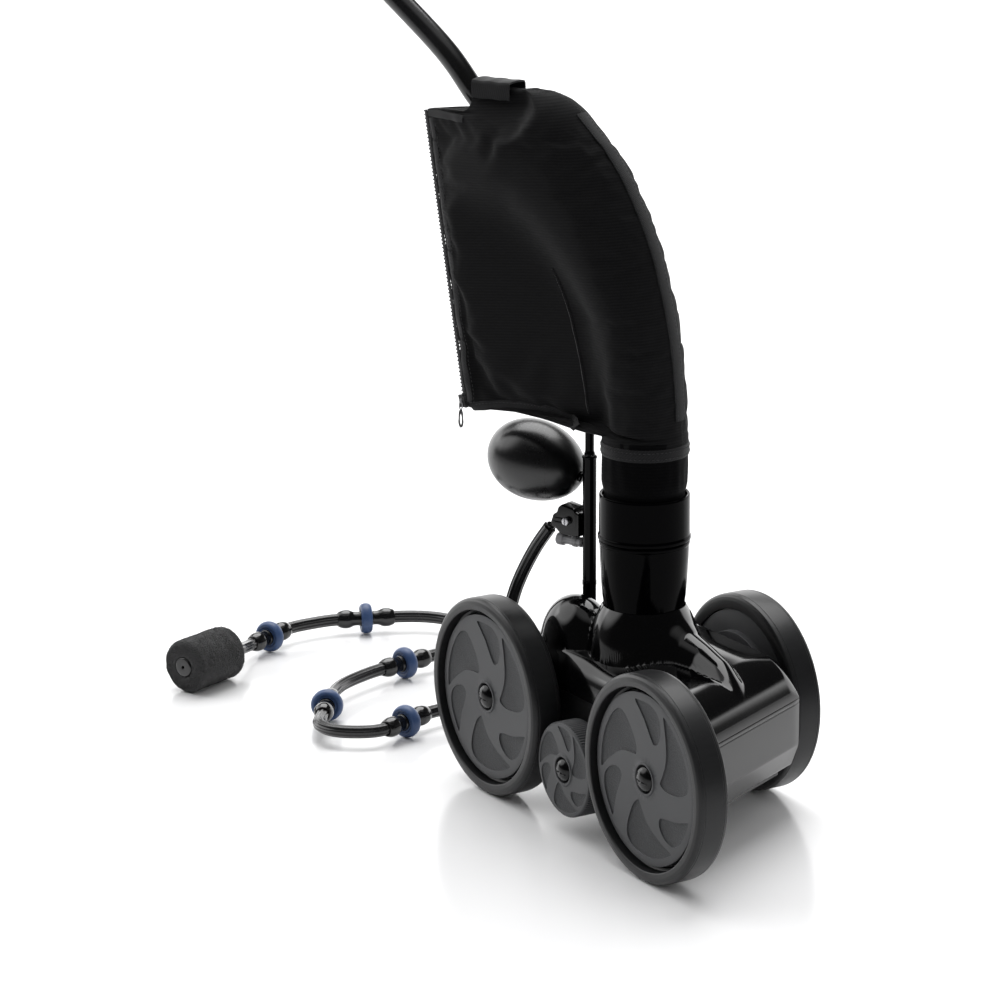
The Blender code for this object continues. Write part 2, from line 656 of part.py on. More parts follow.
feed_route = [swivel_at + up * 0.0120, swivel_at + up * 0.024, bag_point(0.0812, -0.032, 0.497), bag_point(0.0900, -0.050, 0.530),
              bag_point(0.1200, -0.058, 0.575), bag_point(0.1700, -0.050, 0.611),
              bag_point(0.2080, -0.038, 0.6380), bag_point(0.2312, -0.036, 0.6750),
              bag_point(0.2617, -0.036, 0.7010), bag_point(0.3250, -0.036, 0.7500)]
feed_path = smooth_path(feed_route, 0.026)
tube_along("feed_hose", "hose_black", feed_path, feed_hose_r, 0.0070, 10)
end_way = (feed_path[-1] - feed_path[-2]).normalized()
turned("hose_connector", "gloss_black",
       [(0.0070, 0), (0.0150, 0), (0.0150, 0.030), (0.0125, 0.034), (0.0125, 0.044), (0.0070, 0.044)],
       feed_path[-1] + end_way * gap, end_way, 16)

couplings = [(-0.1035, 0.4530, -0.943, -0.334), (-0.1461, 0.5392, 0.600, 0.800),
             (-0.0107, 0.6190, 0.984, 0.178), (0.0315, 0.7795, -0.929, 0.370),
             (-0.0880, 0.7760, -0.897, -0.441)]


def through(k):
    """Four points in a straight line through a coupling."""
    x, y, dx, dy = couplings[k]
    size = math.hypot(dx, dy)
    far = coupling_len / 2 + 0.007
    return [Vector((x + dx / size * s, y + dy / size * s, hose_height))
            for s in (-far, -far + 0.007, far - 0.007, far)]


foam_face = Vector((-0.2292, 0.6960, foam_r))
foam_way = Vector((-0.924, -0.382, 0)).normalized()
hose_route = [barb_at + barb_way * 0.0102, barb_at + barb_way * 0.022, barb_at + barb_way * 0.034,
              bag_point(0.1600, -0.020, 0.1830),
              (-0.0740, 0.3130, 0.1350), (-0.0700, 0.3460, 0.0800), (-0.0500, 0.3900, 0.0370),
              (-0.0260, 0.4240, 0.0180), (-0.0300, 0.4620, hose_height)]
hose_route += through(0)
hose_route += [(-0.1766, 0.4620, hose_height), (-0.1830, 0.4890, hose_height)]
hose_route += through(1)
hose_route += [(-0.1000, 0.5900, hose_height)]
hose_route += through(2)
hose_route += [(0.0620, 0.6330, hose_height), (0.1000, 0.6600, hose_height), (0.1120, 0.7050, hose_height),
               (0.0950, 0.7450, hose_height)]
hose_route += through(3)
hose_route += [(-0.0240, 0.7940, hose_height)]
hose_route += through(4)
hose_route += [foam_face - foam_way * (foam_len + 0.016) - up * 0.003, foam_face - foam_way * (foam_len - 0.004)]
hose_path = smooth_path(hose_route, 0.0205)
tube_along("sweep_hose", "hose_black", hose_path, floor_hose_r, 0.0030, 6)

half = coupling_len / 2
for k, (x, y, dx, dy) in enumerate(couplings):
    way = Vector((dx, dy, 0)).normalized()
    at = Vector((x, y, hose_height))
    turned("hose_coupling_%d" % (k + 1), "gloss_black",
           [(floor_hose_r + 0.0012, -half), (0.0100, -half), (0.0100, -0.0175), (0.0085, -0.0130),
            (0.0085, 0.0130), (0.0100, 0.0175), (0.0100, half), (floor_hose_r + 0.0012, half)],
           at, way, 12, 30)
    tyre = [(0.0093, -0.0052), (0.0130, -0.0062), (ring_outer_r - 0.0001, -0.0030),
            (ring_outer_r - 0.0001, 0.0030), (0.0130, 0.0062), (0.0093, 0.0052)]
    turned("wear_ring_%d" % (k + 1), "ring_blue", tyre, at, way, 14, 60)

foam = [(floor_hose_r + 0.0012, 0), (foam_r - 0.0035, 0), (foam_r, 0.004), (foam_r, foam_len - 0.004),
        (foam_r - 0.0030, foam_len), (0.0108, foam_len), (0.0108, foam_len - 0.005),
        (floor_hose_r + 0.0012, foam_len - 0.0055)]
turned("tail_scrubber", "foam_black", foam, foam_face - foam_way * foam_len, foam_way, 18, 40)
turned("scrubber_plug", "gloss_black",
       [(0.0016, 0), (0.0100, 0), (0.0102, 0.0035), (0.0092, 0.0048), (0.0016, 0.0048)],
       foam_face - foam_way * 0.0037, foam_way, 14)

# frame origin: on the floor, under the middle of the machine
for ob in bpy.data.objects:
    ob.location.y -= mid_y
bpy.context.view_layer.update()
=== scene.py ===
import bpy
import bmesh
import math
import numpy as np
from mathutils import Vector, Matrix, noise
from mathutils.bvhtree import BVHTree
from mathutils.geometry import delaunay_2d_cdt


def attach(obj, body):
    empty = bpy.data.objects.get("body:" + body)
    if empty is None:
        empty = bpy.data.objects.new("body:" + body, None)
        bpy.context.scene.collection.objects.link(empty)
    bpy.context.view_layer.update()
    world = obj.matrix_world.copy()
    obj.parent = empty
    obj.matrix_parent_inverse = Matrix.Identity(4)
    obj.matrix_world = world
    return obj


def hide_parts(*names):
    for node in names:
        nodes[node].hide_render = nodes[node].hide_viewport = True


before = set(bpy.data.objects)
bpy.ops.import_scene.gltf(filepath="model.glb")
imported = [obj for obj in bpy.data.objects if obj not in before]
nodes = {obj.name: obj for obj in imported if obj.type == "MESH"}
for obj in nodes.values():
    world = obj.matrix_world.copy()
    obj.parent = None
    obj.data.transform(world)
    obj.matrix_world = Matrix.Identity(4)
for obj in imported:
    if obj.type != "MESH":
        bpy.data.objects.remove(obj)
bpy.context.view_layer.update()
backset = 0.1454  # the front axle sits this far in front of the frame origin


def at(x, y, z):
    return Vector((x, y - backset, z))


# ---------- camera, floor and light ----------

studio = {
    "eye": (-1.7875, -2.5429, 1.1783),
    "right": (0.8572, -0.515, -0.0052),
    "up": (0.1395, 0.2224, 0.9649),
    "lens": 131.1,
    "floorColour": (0.92, 0.92, 0.925),
    "floorRough": 0.16,
}


def setCamera(spec):
    cam = bpy.data.objects.new("camera", bpy.data.cameras.new("camera"))
    bpy.context.scene.collection.objects.link(cam)
    right = Vector(spec["right"]).normalized()
    up = Vector(spec["up"])
    up = (up - right * up.dot(right)).normalized()
    back = right.cross(up)
    m = Matrix((right, up, back)).transposed().to_4x4()
    m.translation = at(*spec["eye"])
    cam.matrix_world = m
    cam.data.lens = spec["lens"]
    cam.data.sensor_width = 36.0
    cam.data.clip_end = 100
    bpy.context.scene.camera = cam


setCamera(studio)


# ---------- shader writing ----------

class Wire:  # an output socket that takes part in sums
    def __init__(self, finish, out):
        self.finish = finish
        self.out = out

    def sum(self, how, a, b):
        return self.finish.node("ShaderNodeMath", {"operation": how}, {0: a, 1: b})

    __add__ = lambda self, other: self.sum("ADD", self, other)
    __radd__ = lambda self, other: self.sum("ADD", other, self)
    __sub__ = lambda self, other: self.sum("SUBTRACT", self, other)
    __rsub__ = lambda self, other: self.sum("SUBTRACT", other, self)
    __mul__ = lambda self, other: self.sum("MULTIPLY", self, other)
    __rmul__ = lambda self, other: self.sum("MULTIPLY", other, self)
    __truediv__ = lambda self, other: self.sum("DIVIDE", self, other)
    __pow__ = lambda self, other: self.sum("POWER", self, other)


class Finish:  # one material and the nodes that make it
    def __init__(self, name, **fixed):
        self.mat = bpy.data.materials.new(name)
        self.mat.use_nodes = True
        self.tree = self.mat.node_tree
        self.shader = self.tree.nodes["Principled BSDF"]
        for key, value in fixed.items():
            self.put(key, value)

    def node(self, kind, settings=None, values=None, out=0):
        made = self.tree.nodes.new(kind)
        for key, value in (settings or {}).items():
            setattr(made, key, value)
        for key, value in (values or {}).items():
            self.join(made.inputs[key], value)
        return Wire(self, made.outputs[out])

    def join(self, socket, value):
        if isinstance(value, Wire):
            self.tree.links.new(value.out, socket)
        else:
            socket.default_value = value

    # put("BaseColor", ...) sets or links one input of the main shader
    def put(self, key, value):
        names = {"BaseColor": "Base Color", "Coat": "Coat Weight", "CoatRough": "Coat Roughness",
                 "Sheen": "Sheen Weight", "SheenRough": "Sheen Roughness", "Specular": "Specular IOR Level"}
        if isinstance(value, tuple) and len(value) == 3:
            value = (*value, 1.0)
        self.join(self.shader.inputs[names.get(key, key)], value)

    def where(self, kind="Object"):
        return self.node("ShaderNodeTexCoord", out={"Object": 3, "UV": 2, "Normal": 1}[kind])

    def stretch(self, vector, scale, turn=(0, 0, 0)):
        return self.node("ShaderNodeMapping", None, {"Vector": vector, "Scale": scale, "Rotation": turn})

    def cloud(self, vector, scale, detail=2.0, rough=0.5):
        return self.node("ShaderNodeTexNoise", None,
                         {"Vector": vector, "Scale": scale, "Detail": detail, "Roughness": rough})

    def cells(self, vector, scale, feature="F1"):
        return self.node("ShaderNodeTexVoronoi", {"feature": feature}, {"Vector": vector, "Scale": scale})

    def waves(self, vector, scale, bend=0.0, direction="X", profile="SIN"):
        return self.node("ShaderNodeTexWave", {"bands_direction": direction, "wave_profile": profile},
                         {"Vector": vector, "Scale": scale, "Distortion": bend}, out=1)

    def span(self, value, low, high, toLow, toHigh):
        return self.node("ShaderNodeMapRange", None, {0: value, 1: low, 2: high, 3: toLow, 4: toHigh})

    def blendColour(self, fac, a, b):
        return self.node("ShaderNodeMix", {"data_type": "RGBA"},
                         {0: fac, 6: (*a, 1) if isinstance(a, tuple) else a,
                          7: (*b, 1) if isinstance(b, tuple) else b}, out=2)

    def relief(self, height, depth, strength=1.0):
        return self.node("ShaderNodeBump", None, {"Height": height, "Distance": depth, "Strength": strength})


def moulded(name, base, rough, grain=900.0, depth=0.00004, coat=0.0, tone=0.25, spec=0.5, coatRough=0.03):
    # moulded plastic or rubber: fine grain, slow change of shine, faint rub marks
    f = Finish(name, Coat=coat, CoatRough=coatRough, Specular=spec)
    p = f.where()
    slow = f.cloud(p, 9.0, 3.0)
    fine = f.cloud(p, grain, 2.0)
    rub = f.cloud(f.stretch(p, (1.0, 1.0, 7.0)), 60.0, 4.0, 0.6)
    dark = tuple(c * (1 - tone) for c in base)
    light = tuple(min(c * (1 + tone), 1.0) for c in base)
    f.put("BaseColor", f.blendColour(f.span(slow + rub * 0.4, 0.45, 0.95, 0.0, 1.0), dark, light))
    f.put("Roughness", rough + (slow - 0.5) * 0.1 + (rub - 0.5) * 0.08)
    f.put("Normal", f.relief(fine, depth, 0.6))
    return f.mat


def glossy(name, base, rough=0.07, coat=0.6, spec=0.5):
    # polished black moulding: nearly clean shine with faint dust and orange peel
    f = Finish(name, Coat=coat, CoatRough=0.02, Specular=spec)
    p = f.where()
    peel = f.cloud(p, 70.0, 2.0)
    dust = f.cloud(p, 420.0, 5.0, 0.7)
    haze = f.cloud(p, 11.0, 2.0)
    f.put("BaseColor", f.blendColour(f.span(dust, 0.62, 0.8, 0.0, 0.5), base, tuple(c * 2.2 for c in base)))
    f.put("Roughness", rough + f.span(haze, 0.35, 0.7, 0.0, 0.05) + f.span(dust, 0.6, 0.8, 0.0, 0.06))
    f.put("Normal", f.relief(peel, 0.00012, 0.25))
    return f.mat


print("camera and shader tools ready")

# ---------- mesh helpers ----------


def unwrap(mesh, uvs):
    layer = mesh.uv_layers.new(name="UVMap")
    for poly in mesh.polygons:
        for corner, v in zip(poly.loop_indices, poly.vertices):
            layer.data[corner].uv = uvs[v]


def addMesh(name, verts, faces, mats, body, smooth=True, crease=None, tags=None, uvs=None):
    mesh = bpy.data.meshes.new(name)
    mesh.from_pydata([tuple(v) for v in verts], [], faces)
    for mat in (mats if isinstance(mats, (list, tuple)) else [mats]):
        mesh.materials.append(mat)
    if tags:
        mesh.polygons.foreach_set("material_index", tags)
    if uvs:
        unwrap(mesh, uvs)
    bm = bmesh.new()
    bm.from_mesh(mesh)
    bmesh.ops.recalc_face_normals(bm, faces=bm.faces)
    bm.to_mesh(mesh)
    bm.free()
    mesh.polygons.foreach_set("use_smooth", [smooth] * len(mesh.polygons))
    if crease:
        mesh.set_sharp_from_angle(angle=math.radians(crease))
    piece = bpy.data.objects.new(name, mesh)
    bpy.context.scene.collection.objects.link(piece)
    if body:
        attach(piece, body)
    return piece


def ringFaces(rows, n, loop, tagAt=None):
    faces = []
    tags = []
    for i in range(rows if loop else rows - 1):
        a = i * n
        b = ((i + 1) % rows) * n
        for j in range(n):
            k = (j + 1) % n
            faces.append((a + j, a + k, b + k, b + j))
            tags.append(tagAt(i, j) if tagAt else 0)
    return faces, tags


def ringSolid(name, rings, mats, body, loop=False, crease=None, tagAt=None):
    n = len(rings[0])
    verts = [p for ring in rings for p in ring]
    faces, tags = ringFaces(len(rings), n, loop, tagAt)
    if not loop:
        faces += [tuple(range(n)), tuple(range(len(verts) - n, len(verts)))]
        tags += [tags[0], tags[-1]]
    return addMesh(name, verts, faces, mats, body, crease=crease, tags=tags)


def axes(axis, start=None):
    z = Vector(axis).normalized()
    s = Vector(start) if start else Vector((0, 0, -1))
    if abs(s.dot(z)) > 0.95:
        s = Vector((1, 0, 0))
    x = (s - z * s.dot(z)).normalized()
    return x, z.cross(x), z


def softened(profile, size=0.0004, steps=3, closed=True):
    # rounds every corner of a profile by the given size
    out = []
    n = len(profile)
    for i in range(n):
        b = Vector(profile[i])
        if not closed and i in (0, n - 1):
            out.append(tuple(b))
            continue
        a = Vector(profile[i - 1])
        c = Vector(profile[(i + 1) % n])
        ra = min(size, (a - b).length * 0.45)
        rc = min(size, (c - b).length * 0.45)
        if (a - b).length < 1e-7 or (c - b).length < 1e-7:
            out.append(tuple(b))
            continue
        p = b + (a - b).normalized() * ra
        q = b + (c - b).normalized() * rc
        turn = (a - b).normalized().dot((c - b).normalized())
        if turn < -0.985:
            out.append(tuple(b))
            continue
        for k in range(steps + 1):
            t = k / steps
            out.append(tuple(p * (1 - t) ** 2 + b * 2 * t * (1 - t) + q * t * t))
    return out


def turned(name, profile, mats, body, place, axis, n=64, closed=True, soft=0.0004, crease=None, wobble=None):
    # solid of revolution; a profile that is not closed starts and ends on the axis
    x, y, z = axes(axis)
    prof = softened(profile, soft, 3, closed) if soft else profile
    if not closed:
        prof = [p for p in prof if p[0] > 1e-6]
    rings = []
    for r, a in prof:
        ring = []
        for j in range(n):
            t = 2 * math.pi * (j + 0.5) / n
            rr, aa = wobble(r, a, t) if wobble else (r, a)
            ring.append(place + z * aa + x * (rr * math.cos(t)) + y * (rr * math.sin(t)))
        rings.append(ring)
    return ringSolid(name, rings, mats, body, loop=closed, crease=crease)


def rounded(name, place, du, dv, dw, size, mats, body, radius=0.001, taper=0.0):
    # small block with soft edges, made in the three given directions
    me = bmesh.new()
    bmesh.ops.create_cube(me, size=1.0)
    for v in me.verts:
        shrink = 1.0 - (taper if v.co.z > 0 else 0.0)
        v.co = Vector((v.co.x * size[0] * shrink, v.co.y * size[1] * shrink, v.co.z * size[2]))
    bmesh.ops.bevel(me, geom=me.edges[:], offset=radius, segments=3, profile=0.5, affect="EDGES")
    m = Matrix((Vector(du).normalized(), Vector(dv).normalized(), Vector(dw).normalized())).transposed()
    verts = [place + m @ v.co for v in me.verts]
    me.verts.index_update()
    faces = [tuple(v.index for v in f.verts) for f in me.faces]
    me.free()
    return addMesh(name, verts, faces, mats, body, crease=50)

# ---------- finishes ----------

tyreRubber = moulded("tyreRubber", (0.0125, 0.0127, 0.0135), 0.36, 1400.0, 0.00005, tone=0.25, spec=0.32)
discPlastic = moulded("discPlastic", (0.043, 0.044, 0.047), 0.46, 1100.0, 0.00003, tone=0.12, spec=0.4)
framePlastic = moulded("framePlastic", (0.018, 0.018, 0.019), 0.42, 900.0, 0.00006, tone=0.2)
shellGloss = glossy("shellGloss", (0.0008, 0.0008, 0.001), 0.06, 0.0, 0.42)
panelGloss = glossy("panelGloss", (0.003, 0.003, 0.0034), 0.12, 0.0, 0.5)
tubeGloss = glossy("tubeGloss", (0.0006, 0.0006, 0.0008), 0.08, 0.0, 0.035)
pipeGloss = glossy("pipeGloss", (0.001, 0.001, 0.0013), 0.12, 0.0, 0.1)
screwGloss = glossy("screwGloss", (0.002, 0.002, 0.0022), 0.1, 0.0, 0.35)
floatGloss = glossy("floatGloss", (0.0022, 0.0022, 0.0026), 0.24, 0.0, 0.6)
steelBrushed = Finish("steelBrushed", Metallic=1.0)
p = steelBrushed.where()
scratch = steelBrushed.cloud(steelBrushed.stretch(p, (1, 1, 14)), 700.0, 3.0)
steelBrushed.put("BaseColor", steelBrushed.blendColour(scratch, (0.42, 0.42, 0.44), (0.66, 0.66, 0.68)))
steelBrushed.put("Roughness", 0.22 + scratch * 0.2)
steelBrushed = steelBrushed.mat
steelDull = moulded("steelDull", (0.26, 0.26, 0.27), 0.34, 700.0, 0.00004, tone=0.2, spec=0.6)


def pitted():
    # floor of the sunk blades: cast texture, a little duller and darker
    f = Finish("pittedFloor", Specular=0.35)
    p = f.where()
    pits = f.cells(p, 900.0)
    lumps = f.cloud(p, 650.0, 3.0)
    slow = f.cloud(p, 12.0, 2.0)
    f.put("BaseColor", f.blendColour(f.span(lumps, 0.3, 0.7, 0.0, 1.0), (0.034, 0.035, 0.037),
                                     (0.046, 0.047, 0.05)))
    f.put("Roughness", 0.6 + (slow - 0.5) * 0.1)
    f.put("Normal", f.relief(pits + lumps, 0.0003, 0.8))
    return f.mat


pittedFloor = pitted()

# ---------- wheels ----------

wheelSpec = {
    "outerFace": 0.122,
    "radius": 0.095,
    "width": 0.0313,
    "rim": 0.08,
    "faceSet": 0.005,       # disc face behind the outer face
    "bladeDepth": 0.0013,
    "hubRing": 0.0156,
    "axleZ": 0.095,
    "treadLine": 0.00035,
}

# outlines of one large and one small blade, as (radius, degrees), on an 80 mm disc
largeBlade = [(24.2, -112), (30, -98), (39, -85.5), (48, -74), (60, -61.5), (67, -56), (71.5, -53.5),
              (71.8, -58),
              (71.6, -70), (71.4, -84), (71.2, -98), (70.6, -107), (68.5, -112.5), (64.5, -116.5), (57, -119.5),
              (48, -121.5), (39, -123), (32, -123), (27, -119.5)]
smallBlade = [(71.8, -16.5), (72.0, -21), (71.6, -29), (71.2, -37), (69.6, -43.5), (66.4, -49), (60, -54),
              (52, -57.5), (45.5, -58.5), (41, -56.5), (38.3, -51), (40.5, -44), (46.5, -35.5), (55, -28),
              (63, -21.5)]


def bladeOutlines(scale):
    # six closed outlines round the disc, smoothed through the given points
    shapes = []
    for turn in (0, 120, 240):
        for blade in (largeBlade, smallBlade):
            pts = [Vector((r * math.cos(math.radians(a + turn)), r * math.sin(math.radians(a + turn)))) * scale
                   for r, a in blade]
            n = len(pts)
            fine = []
            for i in range(n):
                p0, p1, p2, p3 = pts[i - 1], pts[i], pts[(i + 1) % n], pts[(i + 2) % n]
                for k in range(5):
                    t = k / 5
                    fine.append(0.5 * ((2 * p1) + (p2 - p0) * t + (2 * p0 - 5 * p1 + 4 * p2 - p3) * t * t
                                       + (3 * p1 - p0 - 3 * p2 + p3) * t ** 3))
            shapes.append(fine)
    return shapes


def shrunk(outline, by):
    # the outline moved inwards along its own normals
    n = len(outline)
    area = sum(outline[i].x * outline[(i + 1) % n].y - outline[(i + 1) % n].x * outline[i].y for i in range(n))
    side = 1.0 if area > 0 else -1.0
    out = []
    for i in range(n):
        t = (outline[(i + 1) % n] - outline[i - 1]).normalized()
        out.append(outline[i] + Vector((-t.y, t.x)) * side * by)
    return out


def carvedFace(place, facing, inner, outer, scale, faceAt, depth, n):
    # front face of a disc with the sunk blades: returns verts, faces and material tags
    x = Vector((0, -1, 0)) if facing > 0 else Vector((0, 1, 0))
    z = Vector((0, 0, 1))
    inward = Vector((facing, 0, 0))
    verts = []
    faces = []
    tags = []

    def put(p, a):
        verts.append(place + x * p.x + z * p.y + inward * a)
        return len(verts) - 1

    outlines = bladeOutlines(scale)
    flat = []
    edges = []
    for r in (inner, outer):
        start = len(flat)
        flat += [Vector((r * math.cos(2 * math.pi * (j + 0.5) / n), r * math.sin(2 * math.pi * (j + 0.5) / n)))
                 for j in range(n)]
        edges += [(start + j, start + (j + 1) % n) for j in range(n)]
    for k in range(1, 12):   # loose rings of points keep the triangles even
        r = inner + (outer - inner) * k / 12
        flat += [Vector((r * math.cos(2 * math.pi * j / 60), r * math.sin(2 * math.pi * j / 60)))
                 for j in range(60)]
    rims = []
    for shape in outlines:
        start = len(flat)
        flat += shape
        edges += [(start + j, start + (j + 1) % len(shape)) for j in range(len(shape))]
        rims.append((start, len(shape)))
    points, _, cells, origins, _, _ = delaunay_2d_cdt(flat, edges, [], 1, 1e-7)

    def within(p, shape):
        inside = False
        for i in range(len(shape)):
            a = shape[i]
            b = shape[(i + 1) % len(shape)]
            if (a.y > p.y) != (b.y > p.y) and p.x < (b.x - a.x) * (p.y - a.y) / (b.y - a.y) + a.x:
                inside = not inside
        return inside

    index = [put(p, faceAt) for p in points]
    for cell in cells:
        c = (points[cell[0]] + points[cell[1]] + points[cell[2]]) / 3
        if inner * 0.999 < c.length < outer * 0.9995 and not any(within(c, s) for s in outlines):
            faces.append(tuple(index[i] for i in cell))
            tags.append(0)
    slopes = [(0.00005, 0.00004), (0.00014, 0.00022), (0.00022, 0.0006), (0.0003, depth - 0.0003),
              (0.00045, depth - 0.0001), (0.0007, depth)]
    back = {}
    for i, source in enumerate(origins):
        for s in source:
            back[s] = index[i]
    for (start, count), shape in zip(rims, outlines):
        last = [back[start + j] for j in range(count)]
        for inset, drop in slopes:
            row = [put(p, faceAt + drop) for p in shrunk(shape, inset)]
            for j in range(count):
                k = (j + 1) % count
                faces.append((last[j], last[k], row[k], row[j]))
                tags.append(0 if drop < depth * 0.9 else 1)
            last = row
        floor = shrunk(shape, slopes[-1][0])
        pts2, _, cells2, from2, _, _ = delaunay_2d_cdt(
            floor, [(j, (j + 1) % count) for j in range(count)], [], 1, 1e-7)
        spot = []
        for i, p in enumerate(pts2):
            spot.append(last[from2[i][0]] if from2[i] and from2[i][0] < count else put(p, faceAt + depth))
        for cell in cells2:
            faces.append(tuple(spot[i] for i in cell))
            tags.append(1)
    rimIn = [back[j] for j in range(n)]
    rimOut = [back[n + j] for j in range(n)]
    return verts, faces, tags, rimIn, rimOut


def lathedOn(verts, faces, tags, rim, place, facing, profile, n, tag=0):
    # carries a ring of points on along a turned profile of (radius, inward distance)
    x = Vector((0, -1, 0)) if facing > 0 else Vector((0, 1, 0))
    last = rim
    for r, a in profile:
        row = []
        for j in range(n):
            t = 2 * math.pi * (j + 0.5) / n
            verts.append(place + x * (r * math.cos(t)) + Vector((0, 0,
                    r * math.sin(t))) + Vector((facing * a, 0, 0)))
            row.append(len(verts) - 1)
        for j in range(n):
            k = (j + 1) % n
            faces.append((last[j], last[k], row[k], row[j]))
            tags.append(tag)
        last = row
    return last


def closeRing(faces, tags, a, b, n, tag=0):
    for j in range(n):
        k = (j + 1) % n
        faces.append((a[j], a[k], b[k], b[j]))
        tags.append(tag)


def wheelDisc(name, place, facing, body, node):
    s = wheelSpec
    n = 160
    face = s["faceSet"]
    w = s["width"]
    verts, faces, tags, rimIn, rimOut = carvedFace(
        place, facing, s["hubRing"] + 0.0008, s["rim"] - 0.0019, 0.001, face, s["bladeDepth"], n)
    hub = softened([(s["hubRing"] + 0.0008, face), (s["hubRing"], face - 0.0003),
                    (s["hubRing"] - 0.0003, face - 0.0014),
                    (0.01345, face - 0.0014), (0.0131, face - 0.0009), (0.013, face + 0.0032),
                    (0.008, face + 0.0032),
                    (0.008, w + 0.0039), (0.03, w + 0.0039)], 0.0003, 3, False)
    back = lathedOn(verts, faces, tags, rimIn, place, facing, hub[1:], n)
    rim = softened([(s["rim"] - 0.0019, face), (s["rim"] - 0.0012, face + 0.0002), (s["rim"] - 0.0012, 0.0118),
                    (s["rim"] - 0.0001, 0.0125), (s["rim"] - 0.0001, w - 0.002), (0.06, w - 0.0021),
                    (0.06, w + 0.0039),
                    (0.04, w + 0.0039)], 0.0003, 3, False)
    end = lathedOn(verts, faces, tags, rimOut, place, facing, rim[1:], n)
    closeRing(faces, tags, back, end, n)
    piece = addMesh(name, verts, faces, [discPlastic, pittedFloor], body, crease=38, tags=tags)
    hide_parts(node)
    return piece


def tyre(name, place, facing, body, node):
    s = wheelSpec
    w = s["width"]
    r = s["radius"]
    line = s["treadLine"]
    prof = [(s["rim"] + 0.0006, w - 0.0006), (s["rim"] + 0.0006, 0.0118), (s["rim"] + 0.0036, 0.0106),
            (s["rim"] + 0.0036, 0.0006), (s["rim"] + 0.0046, 0.0), (r - 0.0062, -0.0001), (r - 0.003, 0.0006),
            (r - 0.001, 0.0022), (r - 0.0002, 0.0042), (r, 0.0052), (r - line, 0.0055), (r - line, 0.0059),
            (r, 0.0062),
            (r, w - 0.006), (r - line, w - 0.0057), (r - line, w - 0.0053), (r - 0.0001, w - 0.005),
            (r - 0.001, w - 0.0018), (r - 0.0032, w - 0.0003), (r - 0.006, w)]
    piece = turned(name, prof, tyreRubber, body, place, (facing, 0, 0), n=144, soft=0.0005)
    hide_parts(node)


def domedScrew(name, place, facing, body, node, r, height, set):
    # domed cap with a slot, standing in its counterbore
    n = 72
    rows = 15
    x = Vector((0, -1, 0)) if facing > 0 else Vector((0, 1, 0))
    rings = []
    for i in range(rows):
        t = i / (rows - 1)
        ang = t * math.radians(82)
        rr = r * math.sin(ang) / math.sin(math.radians(82))
        a = set + height * (1 - (math.cos(ang) - math.cos(math.radians(82))) / (1 - math.cos(math.radians(82))))
        ring = []
        for j in range(n):
            q = 2 * math.pi * j / n + 0.31
            px = max(rr, 0.00005) * math.cos(q)
            py = max(rr, 0.00005) * math.sin(q)
            tilt = px * 0.17 + py * 0.985
            along = px * 0.985 - py * 0.17
            slot = 0.001 if abs(tilt + 0.0008) < 0.0006 and abs(along) < r * 0.72 else 0.0
            ring.append(place + x * px + Vector((0, 0, py)) + Vector((facing * (a + slot), 0, 0)))
        rings.append(ring)
    for rr, a in ((r + 0.0001, set + height + 0.001), (r, set + height + 0.0016),
                  (r - 0.0004, set + height + 0.0018)):
        rings.append([place + x * (rr * math.cos(2 * math.pi * j / n + 0.31))
                      + Vector((facing * a, 0, rr * math.sin(2 * math.pi * j / n + 0.31))) for j in range(n)])
    piece = ringSolid(name, rings, screwGloss, body, crease=40)
    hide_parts(node)


wheels = {"front": (-1, 0.0), "rear": (-1, 0.2733), "far": (1, 0.1578)}
for tag, (side, y) in wheels.items():
    hub = at(side * wheelSpec["outerFace"], y, wheelSpec["axleZ"])
    wheelDisc("wheelDisc_" + tag, hub, -side, tag + "_wheel", "disc_" + tag)
    tyre("tyre_moulded_" + tag, hub, -side, tag + "_wheel", "tyre_" + tag)
    domedScrew("hubCap_" + tag, hub, -side, "chassis", "wheel_screw_" + tag, 0.0121, 0.0066, -0.0008)
print("wheels done")

# ---------- idler ----------

idlerSpec = {"y": 0.13665, "z": 0.0625, "outer": 0.118, "radius": 0.0447, "width": 0.0245, "teeth": 96,
             "tooth": 0.0007}


def idlerWheel(s):
    hub = at(-s["outer"], s["y"], s["z"])
    n = s["teeth"] * 2
    verts, faces, tags, rimIn, rimOut = carvedFace(hub, 1, 0.0158, s["radius"] - 0.0022, 0.000567, 0.0012,
                                                   0.0009, n)
    core = softened([(0.0158, 0.0012), (0.015, 0.0009), (0.0147, 0.0001), (0.0127, 0.0001), (0.0123, 0.0006),
                     (0.0122, 0.0062), (0.006, 0.0062), (0.006, s["width"]), (0.02, s["width"])], 0.0003, 3,
                     False)
    a = lathedOn(verts, faces, tags, rimIn, hub, 1, core[1:], n)
    last = rimOut
    x = Vector((0, -1, 0))
    for r, d in ((s["radius"] - 0.0016, 0.0013), (s["radius"] - 0.0004, 0.0022), (s["radius"], 0.003),
                 (s["radius"], s["width"] - 0.0016), (s["radius"] - 0.001, s["width"] - 0.0003),
                 (s["radius"] - 0.004, s["width"])):
        row = []
        for j in range(n):
            t = 2 * math.pi * (j + 0.5) / n
            rr = r - (s["tooth"] if j % 2 and r > s["radius"] - 0.0011 else 0.0)
            verts.append(hub + x * (rr * math.cos(t)) + Vector((d, 0, rr * math.sin(t))))
            row.append(len(verts) - 1)
        closeRing(faces, tags, last, row, n)
        last = row
    closeRing(faces, tags, a, last, n)
    piece = addMesh("idlerKnurled", verts, faces, [discPlastic, pittedFloor], "idler", crease=30, tags=tags)
    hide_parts("idler_wheel")
    domedScrew("idlerCap", hub, 1, "chassis", "idler_screw", 0.0114, 0.0072, -0.004)


idlerWheel(idlerSpec)
print("idler done")

